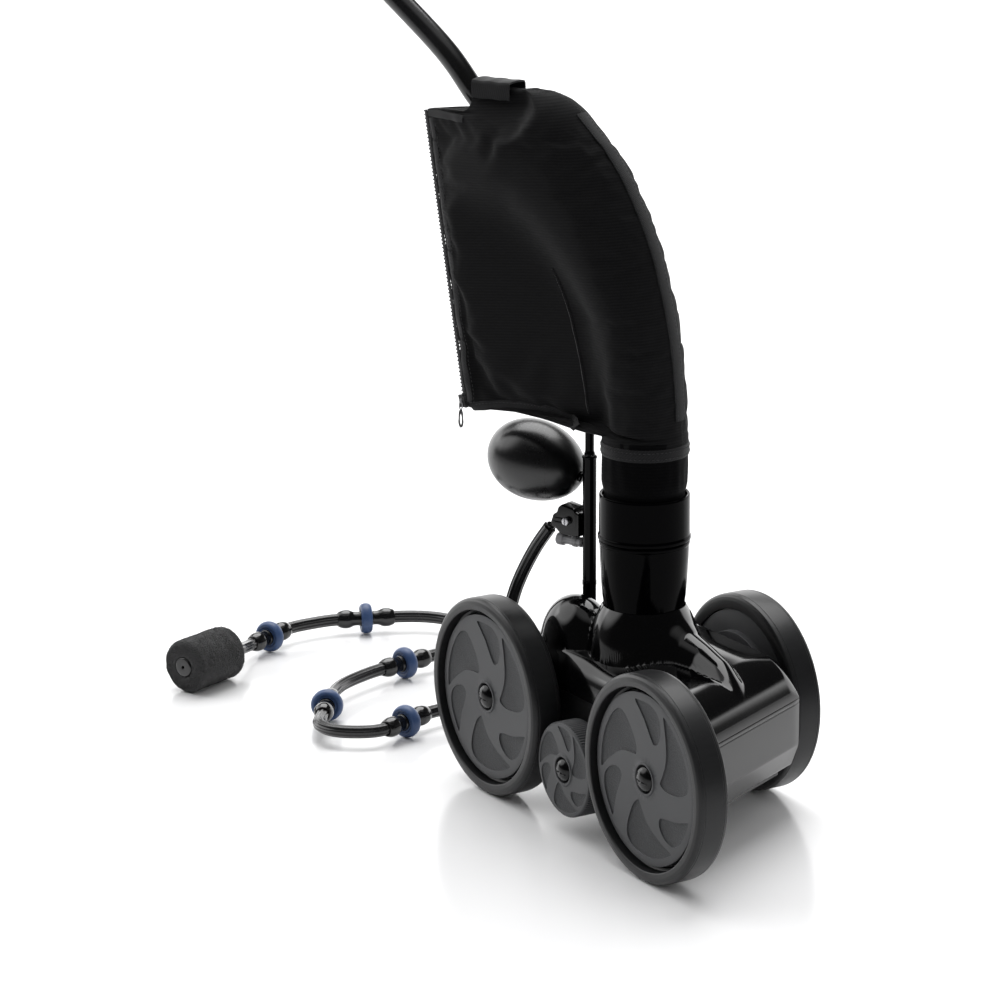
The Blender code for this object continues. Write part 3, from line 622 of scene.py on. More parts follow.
# ---------- shell ----------

shellSpec = {
    "half": 0.086,
    "skirt": 0.1215,
    "front": (-0.034, 0.494),    # y at the near side, slope across the body
    "rear": (0.296, -0.19),
    "wall": 0.003,
    "steps": (150, 190),
    "crease": 0.0045,            # softness of the valley round the mound
    # spine of the mound: x, y, reach to each side, height
    "spine": [(-0.015, 0.158, 0.053, 0.224), (-0.01, 0.138, 0.042, 0.203), (-0.003, 0.113, 0.027, 0.186),
              (0.002, 0.086, 0.02, 0.1765), (0.003, 0.062, 0.0165, 0.169), (0.002, 0.042, 0.013, 0.161),
              (0.0, 0.024, 0.006, 0.153)],
    "humpAt": (-0.0465, 0.222),
    "humpSize": (0.032, 0.045),
    "humpTop": 0.197,
}


def shellHeights(x, y):
    # height of the shell over arrays of plan positions
    s = shellSpec

    def roll(d, r):
        t = np.clip(d / r, 0.0, 1.0)
        return np.sqrt(1.0 - (1.0 - t) ** 2)

    def softMax(a, b, k):
        h = np.clip(k - np.abs(a - b), 0.0, None) / k
        return np.maximum(a, b) + h * h * k / 4

    y0 = s["front"][0] + s["front"][1] * (x + s["half"])
    y1 = s["rear"][0] + s["rear"][1] * (x + s["half"])
    t = np.clip((y - 0.04) / 0.09, 0, 1)
    base = s["skirt"] + 0.0335 + 0.009 * (1 - np.minimum((x / 0.07) ** 2, 1)) * t * t * (3 - 2 * t)
    base = base - 0.016 * np.exp(-((x + 0.09) / 0.03) ** 2 - ((y - 0.118) / 0.034) ** 2)
    knots = np.array(s["spine"])
    mound = np.full_like(x, 0.1)
    low = 0.15
    for t in np.linspace(0, len(knots) - 1, 90):
        px, py, reach, top = [np.interp(t, range(len(knots)), knots[:, c]) for c in range(4)]
        d2 = ((x - px) ** 2 + (y - py) ** 2) / reach ** 2
        mound = np.maximum(mound, low + (top - low) * np.sqrt(np.clip(1 - d2, 0, 1)))
    d2 = ((x - s["humpAt"][0]) / s["humpSize"][0]) ** 2 + ((y - s["humpAt"][1]) / s["humpSize"][1]) ** 2
    hump = low + (s["humpTop"] - low) * np.sqrt(np.clip(1 - d2, 0, 1))
    z = softMax(softMax(base, hump, 0.01), mound, s["crease"]) - s["skirt"]
    edge = roll(y - y0, 0.05) * roll(y1 - y, 0.045) * roll(s["half"] - np.abs(x), 0.016) ** 0.8
    return s["skirt"] + z * edge


def shellSkin():
    s = shellSpec
    nx, ny = s["steps"]
    verts = []
    faces = []
    layers = []
    for layer, (inset, lower) in enumerate(((0.0, 0.0), (s["wall"], s["wall"]))):
        i = 0.5 - 0.5 * np.cos(np.pi * np.arange(nx + 1) / nx)
        j = 0.5 - 0.5 * np.cos(np.pi * np.arange(ny + 1) / ny)
        i = 0.62 * i + 0.38 * np.arange(nx + 1) / nx
        j = 0.62 * j + 0.38 * np.arange(ny + 1) / ny
        x = ((s["half"] - inset) * (2 * i - 1))[:, None] * np.ones((1, ny + 1))
        y0 = s["front"][0] + s["front"][1] * (x + s["half"]) + inset * 1.15
        y1 = s["rear"][0] + s["rear"][1] * (x + s["half"]) - inset * 1.05
        y = y0 + (y1 - y0) * j[None, :]
        grow = s["half"] / (s["half"] - inset)
        z = shellHeights(x * grow, y0 - inset * 1.15 + (y1 - y0 + inset * 2.2) * j[None, :]) - lower
        z = np.maximum(z, s["skirt"] + 0.0002)
        start = len(verts)
        layers.append(start)
        for a in range(nx + 1):
            for b in range(ny + 1):
                verts.append(at(x[a, b], y[a, b], z[a, b]))
        for a in range(nx):
            for b in range(ny):
                q = start + a * (ny + 1) + b
                faces.append((q, q + 1, q + ny + 2, q + ny + 1))
    rim = [(a, 0) for a in range(nx + 1)] + [(nx, b) for b in range(1, ny + 1)]
    rim += [(a, ny) for a in range(nx - 1, -1, -1)] + [(0, b) for b in range(ny - 1, 0, -1)]
    last = [layers[0] + a * (ny + 1) + b for a, b in rim]
    inner = [layers[1] + a * (ny + 1) + b for a, b in rim]
    for drop in (0.0002, 0.0003, 0.0006):
        row = []
        for v, (a, b) in zip([layers[0] + a * (ny + 1) + b for a, b in rim], rim):
            p = verts[v]
            verts.append(Vector((p.x, p.y, s["skirt"] - drop)))
            row.append(len(verts) - 1)
        closeRing(faces, [], last, row, len(rim))
        last = row
    foot = []
    for v in inner:
        p = verts[v]
        verts.append(Vector((p.x, p.y, s["skirt"] - 0.0006)))
        foot.append(len(verts) - 1)
    closeRing(faces, [], last, foot, len(rim))
    closeRing(faces, [], foot, inner, len(rim))
    shell = addMesh("shellMoulding", verts, faces, shellGloss, "chassis", crease=42)
    pipe = bagPoint(0.0796, -0.0272, 0)
    holes = [(at(-0.015, 0.158, 0.14), 0.0386, 0.0386, 0), (at(pipe.x, pipe.y + backset, 0.13), 0.0072,
                                                            0.0072, 0),
             (at(0.033, 0.161, 0.15), 0.0056, 0.004, 0.3)]
    for k, (place, rx, ry, turn) in enumerate(holes):
        n = 96 if k == 0 else 40
        rings = [[place + Vector((rx * math.cos(2 * math.pi * j / n + turn),
                                  ry * math.sin(2 * math.pi * j / n + turn), h))
                  for j in range(n)] for h in (-0.05, 0.12)]
        tool = ringSolid("holeTool", rings, shellGloss, None)
        cut = shell.modifiers.new("hole", "BOOLEAN")
        cut.operation = "DIFFERENCE"
        cut.solver = "EXACT"
        cut.object = tool
        dep = bpy.context.evaluated_depsgraph_get()
        baked = bpy.data.meshes.new_from_object(shell.evaluated_get(dep))
        shell.modifiers.clear()
        shell.data = baked
        bpy.data.objects.remove(tool, do_unlink=True)
    shell.data.polygons.foreach_set("use_smooth", [True] * len(shell.data.polygons))
    shell.data.set_sharp_from_angle(angle=math.radians(42))
    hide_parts("top_shell")


def bagPoint(u, n, z):
    # u behind the tube along the bag, n towards the near side, z up
    return at(-0.015 - 0.3998 * u - 0.9166 * n, 0.158 + 0.9166 * u - 0.3998 * n, z)


bagU = Vector((-0.3998, 0.9166, 0)).normalized()
bagN = Vector((-0.9166, -0.3998, 0)).normalized()
upward = Vector((0, 0, 1))

shellSkin()
print("shell done")


def bentPanel(name, edge, sign, node):
    # plate along the front or rear, with a lip line near the top and a rounded chin
    line = [(0.0, 0.1203), (-0.0, 0.1172), (0.0006, 0.1168), (0.0006, 0.116), (0.0001, 0.1156),
            (0.0, 0.079), (0.0006, 0.0752), (0.0028, 0.0712), (0.0112, 0.0534), (0.0124, 0.052),
            (0.0148, 0.052),
            (0.015, 0.0531), (0.006, 0.0735), (0.0036, 0.079), (0.0035, 0.1203)]
    prof = softened(line, 0.0012, 4)
    rings = []
    cols = 40
    for i in range(cols + 1):
        x = -0.084 + 0.1708 * i / cols
        end = 1.0 - 0.35 * max(0.0, 1 - min(i, cols - i) / 1.5)
        y = edge[0] + edge[1] * (x + 0.086)
        rings.append([at(x, y + sign * (0.00175 + (d - 0.00175) * end if d < 0.0035 else d), z) for d,
                      z in prof])
    piece = ringSolid(name, rings, panelGloss, "chassis", crease=35)
    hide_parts(node)


bentPanel("nosePlate", (-0.034, 0.494), 1, "nose_panel")
bentPanel("tailPlate", (0.296, -0.19), -1, "tail_panel")

# ---------- vacuum tube, collar and cuff ----------

tubeSpec = {"x": -0.0155, "y": 0.1576, "bore": 0.033, "neck": 0.0374, "knee": 0.0406, "top": 0.0415,
            "kneeZ": 0.24, "sleeveZ": 0.264, "collarTop": 0.307}


def tubeParts(s):
    foot = at(s["x"], s["y"], 0)
    k, t, z = s["knee"], s["top"], s["sleeveZ"]
    tube = [(s["bore"] - 0.0002, 0.119), (0.035, 0.119), (0.035, 0.19), (0.0362, 0.196), (s["neck"], 0.2),
            (s["neck"] + 0.0004, 0.204), (0.0388, 0.211), (0.0398, 0.223), (k, s["kneeZ"]),
            (k + 0.0004, s["kneeZ"] + 0.006), (t, z - 0.0046), (t + 0.0006, z - 0.004),
            (t + 0.0006, z - 0.0012),
            (t - 0.0008, z - 0.0004), (0.0352, z - 0.0004), (0.0352, 0.3296), (0.0338, 0.33),
            (s["bore"] - 0.0002, 0.329)]
    piece = turned("vacuumTube", tube, tubeGloss, "chassis", foot, upward, n=120, soft=0.0009, crease=32)
    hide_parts("vacuum_tube")
    collar = [(0.0356, z), (0.0424, z), (0.043, z + 0.0008), (0.043, z + 0.0034), (0.0424, z + 0.0044),
              (0.042, z + 0.005), (0.0418, s["collarTop"] - 0.0016), (0.0414, s["collarTop"] - 0.0002),
              (0.0408, s["collarTop"]), (0.0394, s["collarTop"] - 0.0004), (0.0389, s["collarTop"] - 0.002),
              (0.0389, 0.2777), (0.0356, 0.2777)]
    piece = turned("collarRing", collar, tubeGloss, "chassis", foot, upward, n=120, soft=0.0005, crease=32)
    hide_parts("tube_collar")


tubeParts(tubeSpec)
print("tube done")

# ---------- feed pipe, jets and float ----------

pipeSpec = {"u": 0.0796, "n": -0.0272, "r": 0.0065, "thin": 0.0042, "step": 0.325, "top": 0.452}


def pipeParts(s):
    foot = bagPoint(s["u"], s["n"], 0)
    r, thin, step = s["r"], s["thin"], s["step"]
    lower = [(0.004, 0.119), (r, 0.119), (r, 0.1985), (r + 0.0003, 0.199), (r + 0.0003, 0.203), (r, 0.2035),
             (r, step - 0.003), (r + 0.0007, step - 0.0026), (r + 0.0007, step - 0.0012), (r - 0.0006, step),
             (0.004, step)]
    piece = turned("feedPipeLow", lower, pipeGloss, "chassis", foot, upward, n=56, crease=32)
    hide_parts("feed_pipe_lower")
    upper = [(0.0026, step + 0.0003), (0.0052, step + 0.0003), (0.005, step + 0.0022), (thin, step + 0.004),
             (thin, s["top"]), (0.0026, s["top"])]
    piece = turned("feedPipeHigh", upper, pipeGloss, "chassis", foot, upward, n=48, soft=0.0008, crease=32)
    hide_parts("feed_pipe_upper")

    def grip(r0, a, t):   # flats and ribs round the nut
        if r0 > 0.0084:
            return r0 - 0.0005 * (0.5 + 0.5 * math.cos(12 * t)) ** 2, a
        return r0, a

    nut = [(0.005, -0.012), (0.0086, -0.012), (0.0094, -0.01), (0.0097, -0.0085), (0.0097, 0.0065),
           (0.009, 0.0085),
           (0.0078, 0.011), (0.005, 0.011)]
    piece = turned("swivelNut", nut, screwGloss, "hose_swivel", foot + upward * s["top"], upward, n=96,
                   crease=32,
                   wobble=grip)
    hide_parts("swivel_nut")


pipeParts(pipeSpec)

blockU = pipeSpec["u"] + pipeSpec["r"] + 0.0003
pipeN = pipeSpec["n"]


def jetBlock():
    # moulded block with a stepped top, ribs and rounded corners
    outline = [(blockU, 0.2452), (blockU + 0.0205, 0.2452), (blockU + 0.0262, 0.2505), (blockU + 0.031, 0.252),
               (blockU + 0.0318, 0.256), (blockU + 0.029, 0.264), (blockU + 0.0245, 0.2668),
               (blockU + 0.0235, 0.2715),
               (blockU + 0.0195, 0.2748), (blockU + 0.006, 0.2722), (blockU + 0.0035, 0.269), (blockU, 0.2682)]
    prof = softened(outline, 0.0016, 4)
    cu = sum(p[0] for p in prof) / len(prof)
    cz = sum(p[1] for p in prof) / len(prof)
    rings = []
    steps = [(-0.0098, 0.9), (-0.0095, 0.955), (-0.0086, 0.99), (-0.0076, 1.0), (-0.0022, 1.0), (-0.0018, 0.97),
             (-0.0006, 0.97), (-0.0002, 1.0), (0.0064, 1.0), (0.0078, 0.99), (0.0086, 0.955), (0.0088, 0.9)]
    for n, k in steps:
        rings.append([bagPoint(cu + (u - cu) * k if u > blockU + 0.0004 else u, pipeN + n, cz + (z - cz) * k)
                      for u, z in prof])
    piece = ringSolid("jetHousing", rings, screwGloss, "chassis", crease=40)
    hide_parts("jet_block")
    for k, lift in enumerate((0.257, 0.261)):
        rib = rounded("jetRib_%d" % k, bagPoint(blockU + 0.0235, pipeN + 0.0088, lift), bagU, bagN, upward,
                      (0.011, 0.0022, 0.0014), screwGloss, "chassis", 0.0005)


jetBlock()


def crossHead(name, place, way, r, thick, body, node, mat):
    # pan head with a slot cut across its crown
    n = 64
    x, y, z = axes(way)
    rings = []
    prof = [(r * 0.8, 0.0), (r, 0.0005), (r, thick * 0.7), (r * 0.96, thick * 0.84), (r * 0.85, thick * 0.96),
            (r * 0.7, thick), (r * 0.45, thick), (r * 0.22, thick), (r * 0.03, thick)]
    for rr, a in prof:
        ring = []
        for j in range(n):
            t = 2 * math.pi * j / n
            px, py = rr * math.cos(t), rr * math.sin(t)
            dip = 0.0009 if abs(py) < r * 0.17 and a > thick * 0.93 else 0.0
            ring.append(place + x * px + y * py + z * (a - dip))
        rings.append(ring)
    piece = ringSolid(name, rings, mat, body, crease=35)
    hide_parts(node)


crossHead("flowScrew", bagPoint(blockU + 0.012, pipeN + 0.0091, 0.26), bagN, 0.0039, 0.005, "flow_screw",
          "adjust_screw", steelBrushed)

nozzle = [(0.0018, 0.0), (0.004, 0.0), (0.005, 0.0012), (0.0046, 0.0035), (0.0046, 0.005), (0.0054, 0.0058),
          (0.0054, 0.01), (0.0045, 0.0112), (0.0042, 0.017), (0.0047, 0.0196), (0.006, 0.021), (0.0061, 0.0268),
          (0.0056, 0.028), (0.003, 0.028), (0.0022, 0.0262)]
piece = turned("thrustJet", nozzle, steelDull, "thrust_jet", bagPoint(blockU + 0.0006, pipeN, 0.2385), bagU,
               n=64,
               soft=0.0005, crease=34)
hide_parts("thrust_nozzle")

barbWay = (bagU * 0.6 - upward * 0.8).normalized()
barbAt = bagPoint(blockU + 0.0326, pipeN, 0.256)
barb = [(0.0012, 0), (0.0042, 0), (0.0043, 0.002), (0.0024, 0.0026), (0.0022, 0.004), (0.0028, 0.0046),
        (0.0022, 0.0072),
        (0.0028, 0.0078), (0.0022, 0.0104), (0.0027, 0.011), (0.0018, 0.013), (0.0012, 0.013)]
piece = turned("hoseBarb", barb, screwGloss, "chassis", barbAt + barbWay * 0.0068, barbWay, n=40, soft=0.0002)
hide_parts("sweep_barb")


def floatBody():
    # blown egg with a raised joint line, a dimple and its stem
    way = (bagU * 0.985 + upward * 0.17).normalized()
    mid = bagPoint(0.1395, pipeN, 0.311)
    prof = [(0.0006, -0.0468), (0.003, -0.0469), (0.0044, -0.0476), (0.0054, -0.05), (0.0064, -0.0503)]
    long, fat = 0.0505, 0.038
    for k in range(9, 97):
        t = math.pi * k / 96.0
        a = -math.cos(t) * long
        r = fat * math.sin(t) * (1.0 - 0.07 * math.cos(t))
        lump = 0.00035 * math.exp(-((a - 0.02) / 0.0006) ** 2)
        prof.append((max(r + lump, 0.0002), a))
    piece = turned("floatEgg", prof, floatGloss, "float", mid, way, n=120, closed=False, soft=0)
    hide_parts("tail_float")
    arm = [(0.0001, 0.008), (0.004, 0.008), (0.0046, 0.0084), (0.0046, 0.0096), (0.0036, 0.0104),
           (0.003, 0.0125),
           (0.0001, 0.013)]
    piece = turned("floatStem", arm, screwGloss, "float",
                   bagPoint(pipeSpec["u"], pipeN, 0.3105 - 0.0592 * 0.17), way, n=48, closed=False, soft=0)
    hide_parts("float_arm")


floatBody()
print("pipe, jets and float done")

# ---------- filter bag ----------

bagSpec = {
    "mouthR": 0.0398, "mouthZ": 0.345, "hemZ": 0.366, "topZ": 0.641,
    "zipFoot": (0.2015, 0.3725), "zipHead": (0.243, 0.639), "zipStart": 0.359,
    "thick": 0.0012,
    "sleeve": 0.0385,           # roundness of the front sleeve
    "ribs": 1150.0,             # knit rows per metre
    "simSteps": 16,
    "maxMove": 0.006,          # how far the sewn cloth may swell
    # front edge of the bag, (distance behind the tube, height)
    "front": [(-0.04, 0.345), (-0.0396, 0.362), (-0.0385, 0.38), (-0.0368, 0.407), (-0.033, 0.442),
              (-0.0255, 0.481),
              (-0.0125, 0.528), (0.002, 0.562), (0.0225, 0.599), (0.0395, 0.621), (0.062, 0.642),
              (0.074, 0.654),
              (0.09, 0.664), (0.124, 0.673)],
}


def bagShape(s):
    front = np.array(s["front"])

    def frontU(z):
        return np.interp(z, front[:, 1], front[:, 0])

    def rearU(z):
        t = (z - s["zipFoot"][1]) / (s["zipHead"][1] - s["zipFoot"][1])
        line = s["zipFoot"][0] + (s["zipHead"][0] - s["zipFoot"][0]) * t
        return line + 0.0009 * np.sin(z * 130.0) * (1 - t) + 0.0006 * np.sin(z * 310.0 + 1.0)

    def half(u, z):
        best = np.full_like(u, 1.0)
        for k in range(1, len(front) - 1):
            a, d = front[k], front[k + 1] - front[k]
            t = np.clip(((u - a[0]) * d[0] + (z - a[1]) * d[1]) / d.dot(d), 0, 1)
            best = np.minimum(best, np.hypot(u - a[0] - d[0] * t, z - a[1] - d[1] * t))
        sleeve = s["sleeve"]
        rise = np.minimum(best / sleeve, 1.0)
        full = sleeve * np.sqrt(np.maximum(1 - (1 - rise) ** 2, 0))
        lift = np.clip((z - 0.47) / 0.12, 0, 1)
        slim = 1 / (1 + np.exp((best - 0.064 - 0.046 * lift) / (0.0075 + 0.0105 * lift)))
        h = 0.0062 + (full - 0.0062) * slim
        h = np.minimum(h, 0.0024 + 0.33 * np.maximum(rearU(z) - u, 0))
        strap = 0.0082 + 0.9 * np.maximum(0.655 - z, 0) + 0.9 * np.maximum(0.124 - u, 0)
        return np.minimum(h, strap)

    return frontU, rearU, half


frontU, rearU, bagHalf = bagShape(bagSpec)


def bagRow(z, across):
    # one level of the bag as (u, n) pairs: front point, near side, rear point, far side
    s = bagSpec
    mouth = s["mouthR"]
    k = np.arange(across + 1)
    t = 0.5 - 0.5 * np.cos(np.pi * k / across)
    mix = np.clip((z - (s["hemZ"] - 0.0016)) / 0.0032, 0, 1)
    f, r = float(frontU(z)), float(rearU(z))
    if z > s["topZ"] + 0.0006:
        r = 0.1865 + (float(rearU(s["topZ"])) - 0.1865) * max(0.0, 1 - (z - s["topZ"]) / 0.003)
    u = f + (r - f) * t
    edge = np.minimum(np.sin(np.pi * k / across) * 6, 1)
    h = np.maximum(bagHalf(u, np.full_like(u, z)), 0.0028 * edge)
    if mix < 1:
        um = -mouth + 2 * mouth * t
        hm = np.sqrt(np.maximum(mouth ** 2 - um ** 2, 0))
        u = um * (1 - mix) + u * mix
        h = hm * (1 - mix) + h * mix
    h[0] = h[-1] = 0.0
    near = list(zip(u, h))
    return near + [(a, -b) for a, b in near[-2:0:-1]]


def lowerHem(u):
    # the bag's lower edge behind the sleeve dips and rises
    us = [-0.06, 0.045, 0.062, 0.079, 0.102, 0.131, 0.1605, 0.19, 0.21]
    zs = [0.366, 0.364, 0.361, 0.364, 0.3675, 0.367, 0.3645, 0.357, 0.356]
    return float(np.interp(u, us, zs))


def makeBag():
    s = bagSpec
    across = 46
    levels = [0.345, 0.3462, 0.35, 0.354, 0.358, 0.362, 0.364, 0.365, 0.366, 0.3672, 0.3684]
    levels += list(np.linspace(0.372, 0.638, 76)) + [0.6398, 0.641, 0.642, 0.6436, 0.646, 0.65, 0.654,
                                                     0.6575, 0.6612, 0.665,
                                                       0.6678]
    verts = []
    uvs = []
    for z in levels:
        row = bagRow(z, across)
        for u, n in row:
            zz = z
            if 0.3655 < z < 0.4:   # level rows bend to the lower edge
                zz = z + (lowerHem(u) - 0.366) * (0.4 - z) / 0.0345 * min(max((u - 0.04) / 0.02, 0), 1)
            verts.append(bagPoint(u, n, zz))
            uvs.append((u + (0.5 if n < 0 else 0.0), zz))
    count = len(bagRow(0.5, across))
    faces, _ = ringFaces(len(levels), count, False)
    faces.append(tuple(range(len(verts) - count, len(verts))))
    bag = addMesh("bagCloth", verts, faces, bagCloth, "chassis", crease=None, uvs=uvs)
    groups = bag.vertex_groups.new(name="sewn")
    firm = {}
    for i, z in enumerate(z for z in levels for _ in range(count)):
        u, _ = uvs[i]
        u = u if u < 0.4 else u - 0.5
        k = i % count
        seam = min(k, count - k) < 2 or abs(k - across) < 2
        tight = 1.0 if seam or z < 0.369 or z > 0.639 else 0.0
        if not tight:   # cloth pulls harder near the sewn edges
            away = min(z - 0.366, 0.641 - z, float(rearU(z)) - u, u - float(frontU(z)) + 0.004)
            tight = max(0.0, 1 - away / 0.018) * 0.6
        firm[i] = tight
        if tight > 0:
            groups.add([i], tight, "REPLACE")
    rest = [v.co.copy() for v in bag.data.vertices]
    cloth = bag.modifiers.new("swell", "CLOTH")
    cloth.settings.quality = 5
    cloth.settings.mass = 0.12
    cloth.settings.tension_stiffness = 22
    cloth.settings.compression_stiffness = 22
    cloth.settings.shear_stiffness = 8
    cloth.settings.bending_stiffness = 0.15
    cloth.settings.use_pressure = True
    cloth.settings.uniform_pressure_force = 4.0
    cloth.settings.effector_weights.gravity = 0.0
    cloth.settings.vertex_group_mass = "sewn"
    cloth.settings.shrink_min = -0.03
    cloth.point_cache.frame_start = 1
    cloth.point_cache.frame_end = s["simSteps"]
    scene = bpy.context.scene
    for frameNo in range(1, s["simSteps"] + 1):
        scene.frame_set(frameNo)
    dep = bpy.context.evaluated_depsgraph_get()
    swollen = [v.co.copy() for v in bag.evaluated_get(dep).data.vertices]
    bag.modifiers.clear()
    scene.frame_set(1)
    for v, a, b in zip(bag.data.vertices, rest, swollen):
        move = b - a
        if move.length > s["maxMove"]:
            move = move * (s["maxMove"] / move.length)
        v.co = a + move
    # pulled folds: near the mouth, low on the bag and along the zip
    outward = [v.normal.copy() for v in bag.data.vertices]
    for i, v in enumerate(bag.data.vertices):
        u, z = uvs[i]
        u = u if u < 0.4 else u - 0.5
        loose = 1.0 - min(firm[i] * 1.2, 1.0)
        low = math.exp(-((z - 0.395) / 0.035) ** 2) * math.exp(-((u - 0.12) / 0.07) ** 2)
        fold = 0.0011 * low * math.sin(150 * u + 95 * (z - 0.37) + 2.2 * noise.noise(Vector((u, z, 0)) * 30))
        side = math.exp(-((u - float(rearU(z)) + 0.02) / 0.022) ** 2)
        fold += 0.0004 * side * math.sin(210 * z + 120 * u + 1.5 * noise.noise(Vector((u, z, 3)) * 25))
        throat = math.exp(-((z - 0.4) / 0.03) ** 2) * math.exp(-((u - 0.01) / 0.05) ** 2)
        fold += 0.0007 * throat * math.sin(260 * u + 40 * z)
        fold += 0.0012 * noise.noise(Vector((u * 14, z * 14, 1.7)))
        v.co += outward[i] * fold * loose
    for kind, build in (("SUBSURF", {"levels": 1, "render_levels": 1}),
                        ("SOLIDIFY", {"thickness": s["thick"], "offset": -1.0, "use_rim": True})):
        mod = bag.modifiers.new(kind.lower(), kind)
        for key, value in build.items():
            setattr(mod, key, value)
    bag.data.polygons.foreach_set("use_smooth", [True] * len(bag.data.polygons))
    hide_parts("filter_bag")
    return bag


def knit(name, base, ribs, across, rough=0.72, sheen=0.35, depth=0.00016, fleck=0.25, spec=0.12):
    # ribbed cloth: fine rows, thread flecks and worn paler streaks
    f = Finish(name, Sheen=sheen, SheenRough=0.45, Specular=spec)
    uv = f.where("UV")
    rows = f.waves(f.stretch(uv, (1, 1, 1), (0, 0, across)), ribs / 6.2832 * 0.5, 0.0, "Y")
    thread = f.waves(f.stretch(uv, (1, 1, 1), (0, 0, across)), ribs / 6.2832 * 0.9, 0.6, "X")
    cloud = f.cloud(uv, 16.0, 3.0)
    fine = f.cloud(uv, 900.0, 2.0)
    pale = tuple(c * 2.1 for c in base)
    f.put("BaseColor", f.blendColour(f.span(rows * 0.55 + fine * fleck + cloud * 0.5, 0.35, 1.2, 0.0, 1.0),
                                     base, pale))
    f.put("Roughness", rough + (cloud - 0.5) * 0.15)
    f.put("Normal", f.relief(rows * 0.7 + thread * 0.3 + fine * 0.2, depth, 0.9))
    return f.mat


bagCloth = knit("bagCloth", (0.0042, 0.0042, 0.0045), 1500.0, 0.1, 0.74, 0.05, 0.00013, spec=0.06)
bindingTape = knit("bindingTape", (0.007, 0.007, 0.0076), 1900.0, 0.78, 0.7, 0.2, 0.0001)
cuffCloth = knit("cuffCloth", (0.0009, 0.0009, 0.0011), 1300.0, 0.02, 0.6, 0.01, 0.00008, spec=0.03)

filterBag = makeBag()
print("bag sewn")


def sweepBand(name, path, outs, width, thick, mat, wave=0.0, bulge=0.35):
    # a sewn tape along a path; outs gives the way its face looks at each point
    n = len(path)
    rings = []
    run = 0.0
    uvs = []
    cross = [(-0.5, -0.5), (-0.5, 0.3), (-0.42, 0.5), (-0.2, 0.5 + bulge * 0.6), (0.0, 0.5 + bulge),
             (0.2, 0.5 + bulge * 0.6),
             (0.42, 0.5), (0.5, 0.3), (0.5, -0.5)]
    for i in range(n):
        if i:
            run += (path[i] - path[i - 1]).length
        way = (path[min(i + 1, n - 1)] - path[max(i - 1, 0)]).normalized()
        out = (outs[i] - way * outs[i].dot(way)).normalized()
        side = way.cross(out)
        w = width * (1 + wave * noise.noise(Vector((run * 90, 0, 0))))
        lift = thick * 0.35 * noise.noise(Vector((run * 70, 4, 0)))
        rings.append([path[i] + side * (a * w) + out * (b * thick + lift) for a, b in cross])
        uvs += [(run, a * w) for a, b in cross]
    piece = ringSolid(name, rings, mat, "chassis", crease=50)
    unwrap(piece.data, uvs)
    return piece


def stitches(name, path, outs, lift, mat, length=0.0026, gapLen=0.0014, r=0.00028, body="chassis"):
    # one mesh holding every stitch of a run
    verts = []
    faces = []
    seg = length + gapLen
    run = [0.0]
    for a, b in zip(path, path[1:]):
        run.append(run[-1] + (b - a).length)
    arr = np.array([tuple(p) for p in path])
    nor = np.array([tuple(p) for p in outs])

    def spot(s):
        return (Vector([float(np.interp(s, run, arr[:, c])) for c in range(3)]),
                Vector([float(np.interp(s, run, nor[:, c])) for c in range(3)]).normalized())

    for k in range(int(run[-1] / seg)):
        s0 = k * seg
        rings = []
        for t, rr, up in ((0.0, 0.3, 0.2), (0.15, 0.9, 0.7), (0.5, 1.0, 1.0), (0.85, 0.9, 0.7),
                          (1.0, 0.3, 0.2)):
            p, out = spot(s0 + length * t)
            q, _ = spot(s0 + length * t + 0.0002)
            way = (q - p).normalized() if (q - p).length > 1e-9 else Vector((0, 0, 1))
            out = (out - way * out.dot(way)).normalized()
            side = way.cross(out)
            rings.append([p + out * (lift * up) + (side * math.cos(a) + out * math.sin(a)) * r * rr
                          for a in (0.6, 1.9, 3.1, 4.4, 5.6)])
        start = len(verts)
        for ring in rings:
            verts += ring
        fs, _ = ringFaces(len(rings), 5, False)
        faces += [tuple(start + v for v in f) for f in fs]
        faces += [tuple(start + v for v in range(5)), tuple(start + 20 + v for v in range(5))]
    return addMesh(name, verts, faces, mat, body)

# ---------- seams, strap, zip and cuff ----------

def onBag():
    dep = bpy.context.evaluated_depsgraph_get()
    bm = bmesh.new()
    bm.from_mesh(filterBag.evaluated_get(dep).data)
    tree = BVHTree.FromBMesh(bm)
    bm.free()

    def touch(u, z, side=1):
        far = bagPoint(u, side * 0.12, z)
        hit = tree.ray_cast(far, bagN * -side)
        if hit[0] is None:
            hit = tree.find_nearest(bagPoint(u, side * 0.002, z))
        p, n = hit[0], hit[1]
        return p, (n if n.dot(far - p) > 0 or side == 0 else -n)

    return touch, tree


touch, bagTree = onBag()


def alongBag(points, side, step=0.0035):
    # even steps on the cloth through (u, z) points, with the way the cloth faces
    line = [Vector((u, z)) for u, z in points]
    path = []
    outs = []
    for a, b in zip(line, line[1:]):
        n = max(int((b - a).length / step), 1)
        for k in range(n):
            q = a + (b - a) * (k / n)
            p, out = touch(q.x, q.y, side)
            path.append(p)
            outs.append(out)
    p, out = touch(line[-1].x, line[-1].y, side)
    return path + [p], outs + [out]


def eased(path, outs, rounds=2):
    for _ in range(rounds):
        path = [path[0]] + [(path[i - 1] + path[i] * 2 + path[i + 1]) / 4 for i in range(1,
                len(path) - 1)] + [path[-1]]
        outs = [outs[0]] + [(outs[i - 1] + outs[i] * 2 + outs[i + 1]).normalized() for i in range(1,
                len(outs) - 1)] + [outs[-1]]
    return path, outs


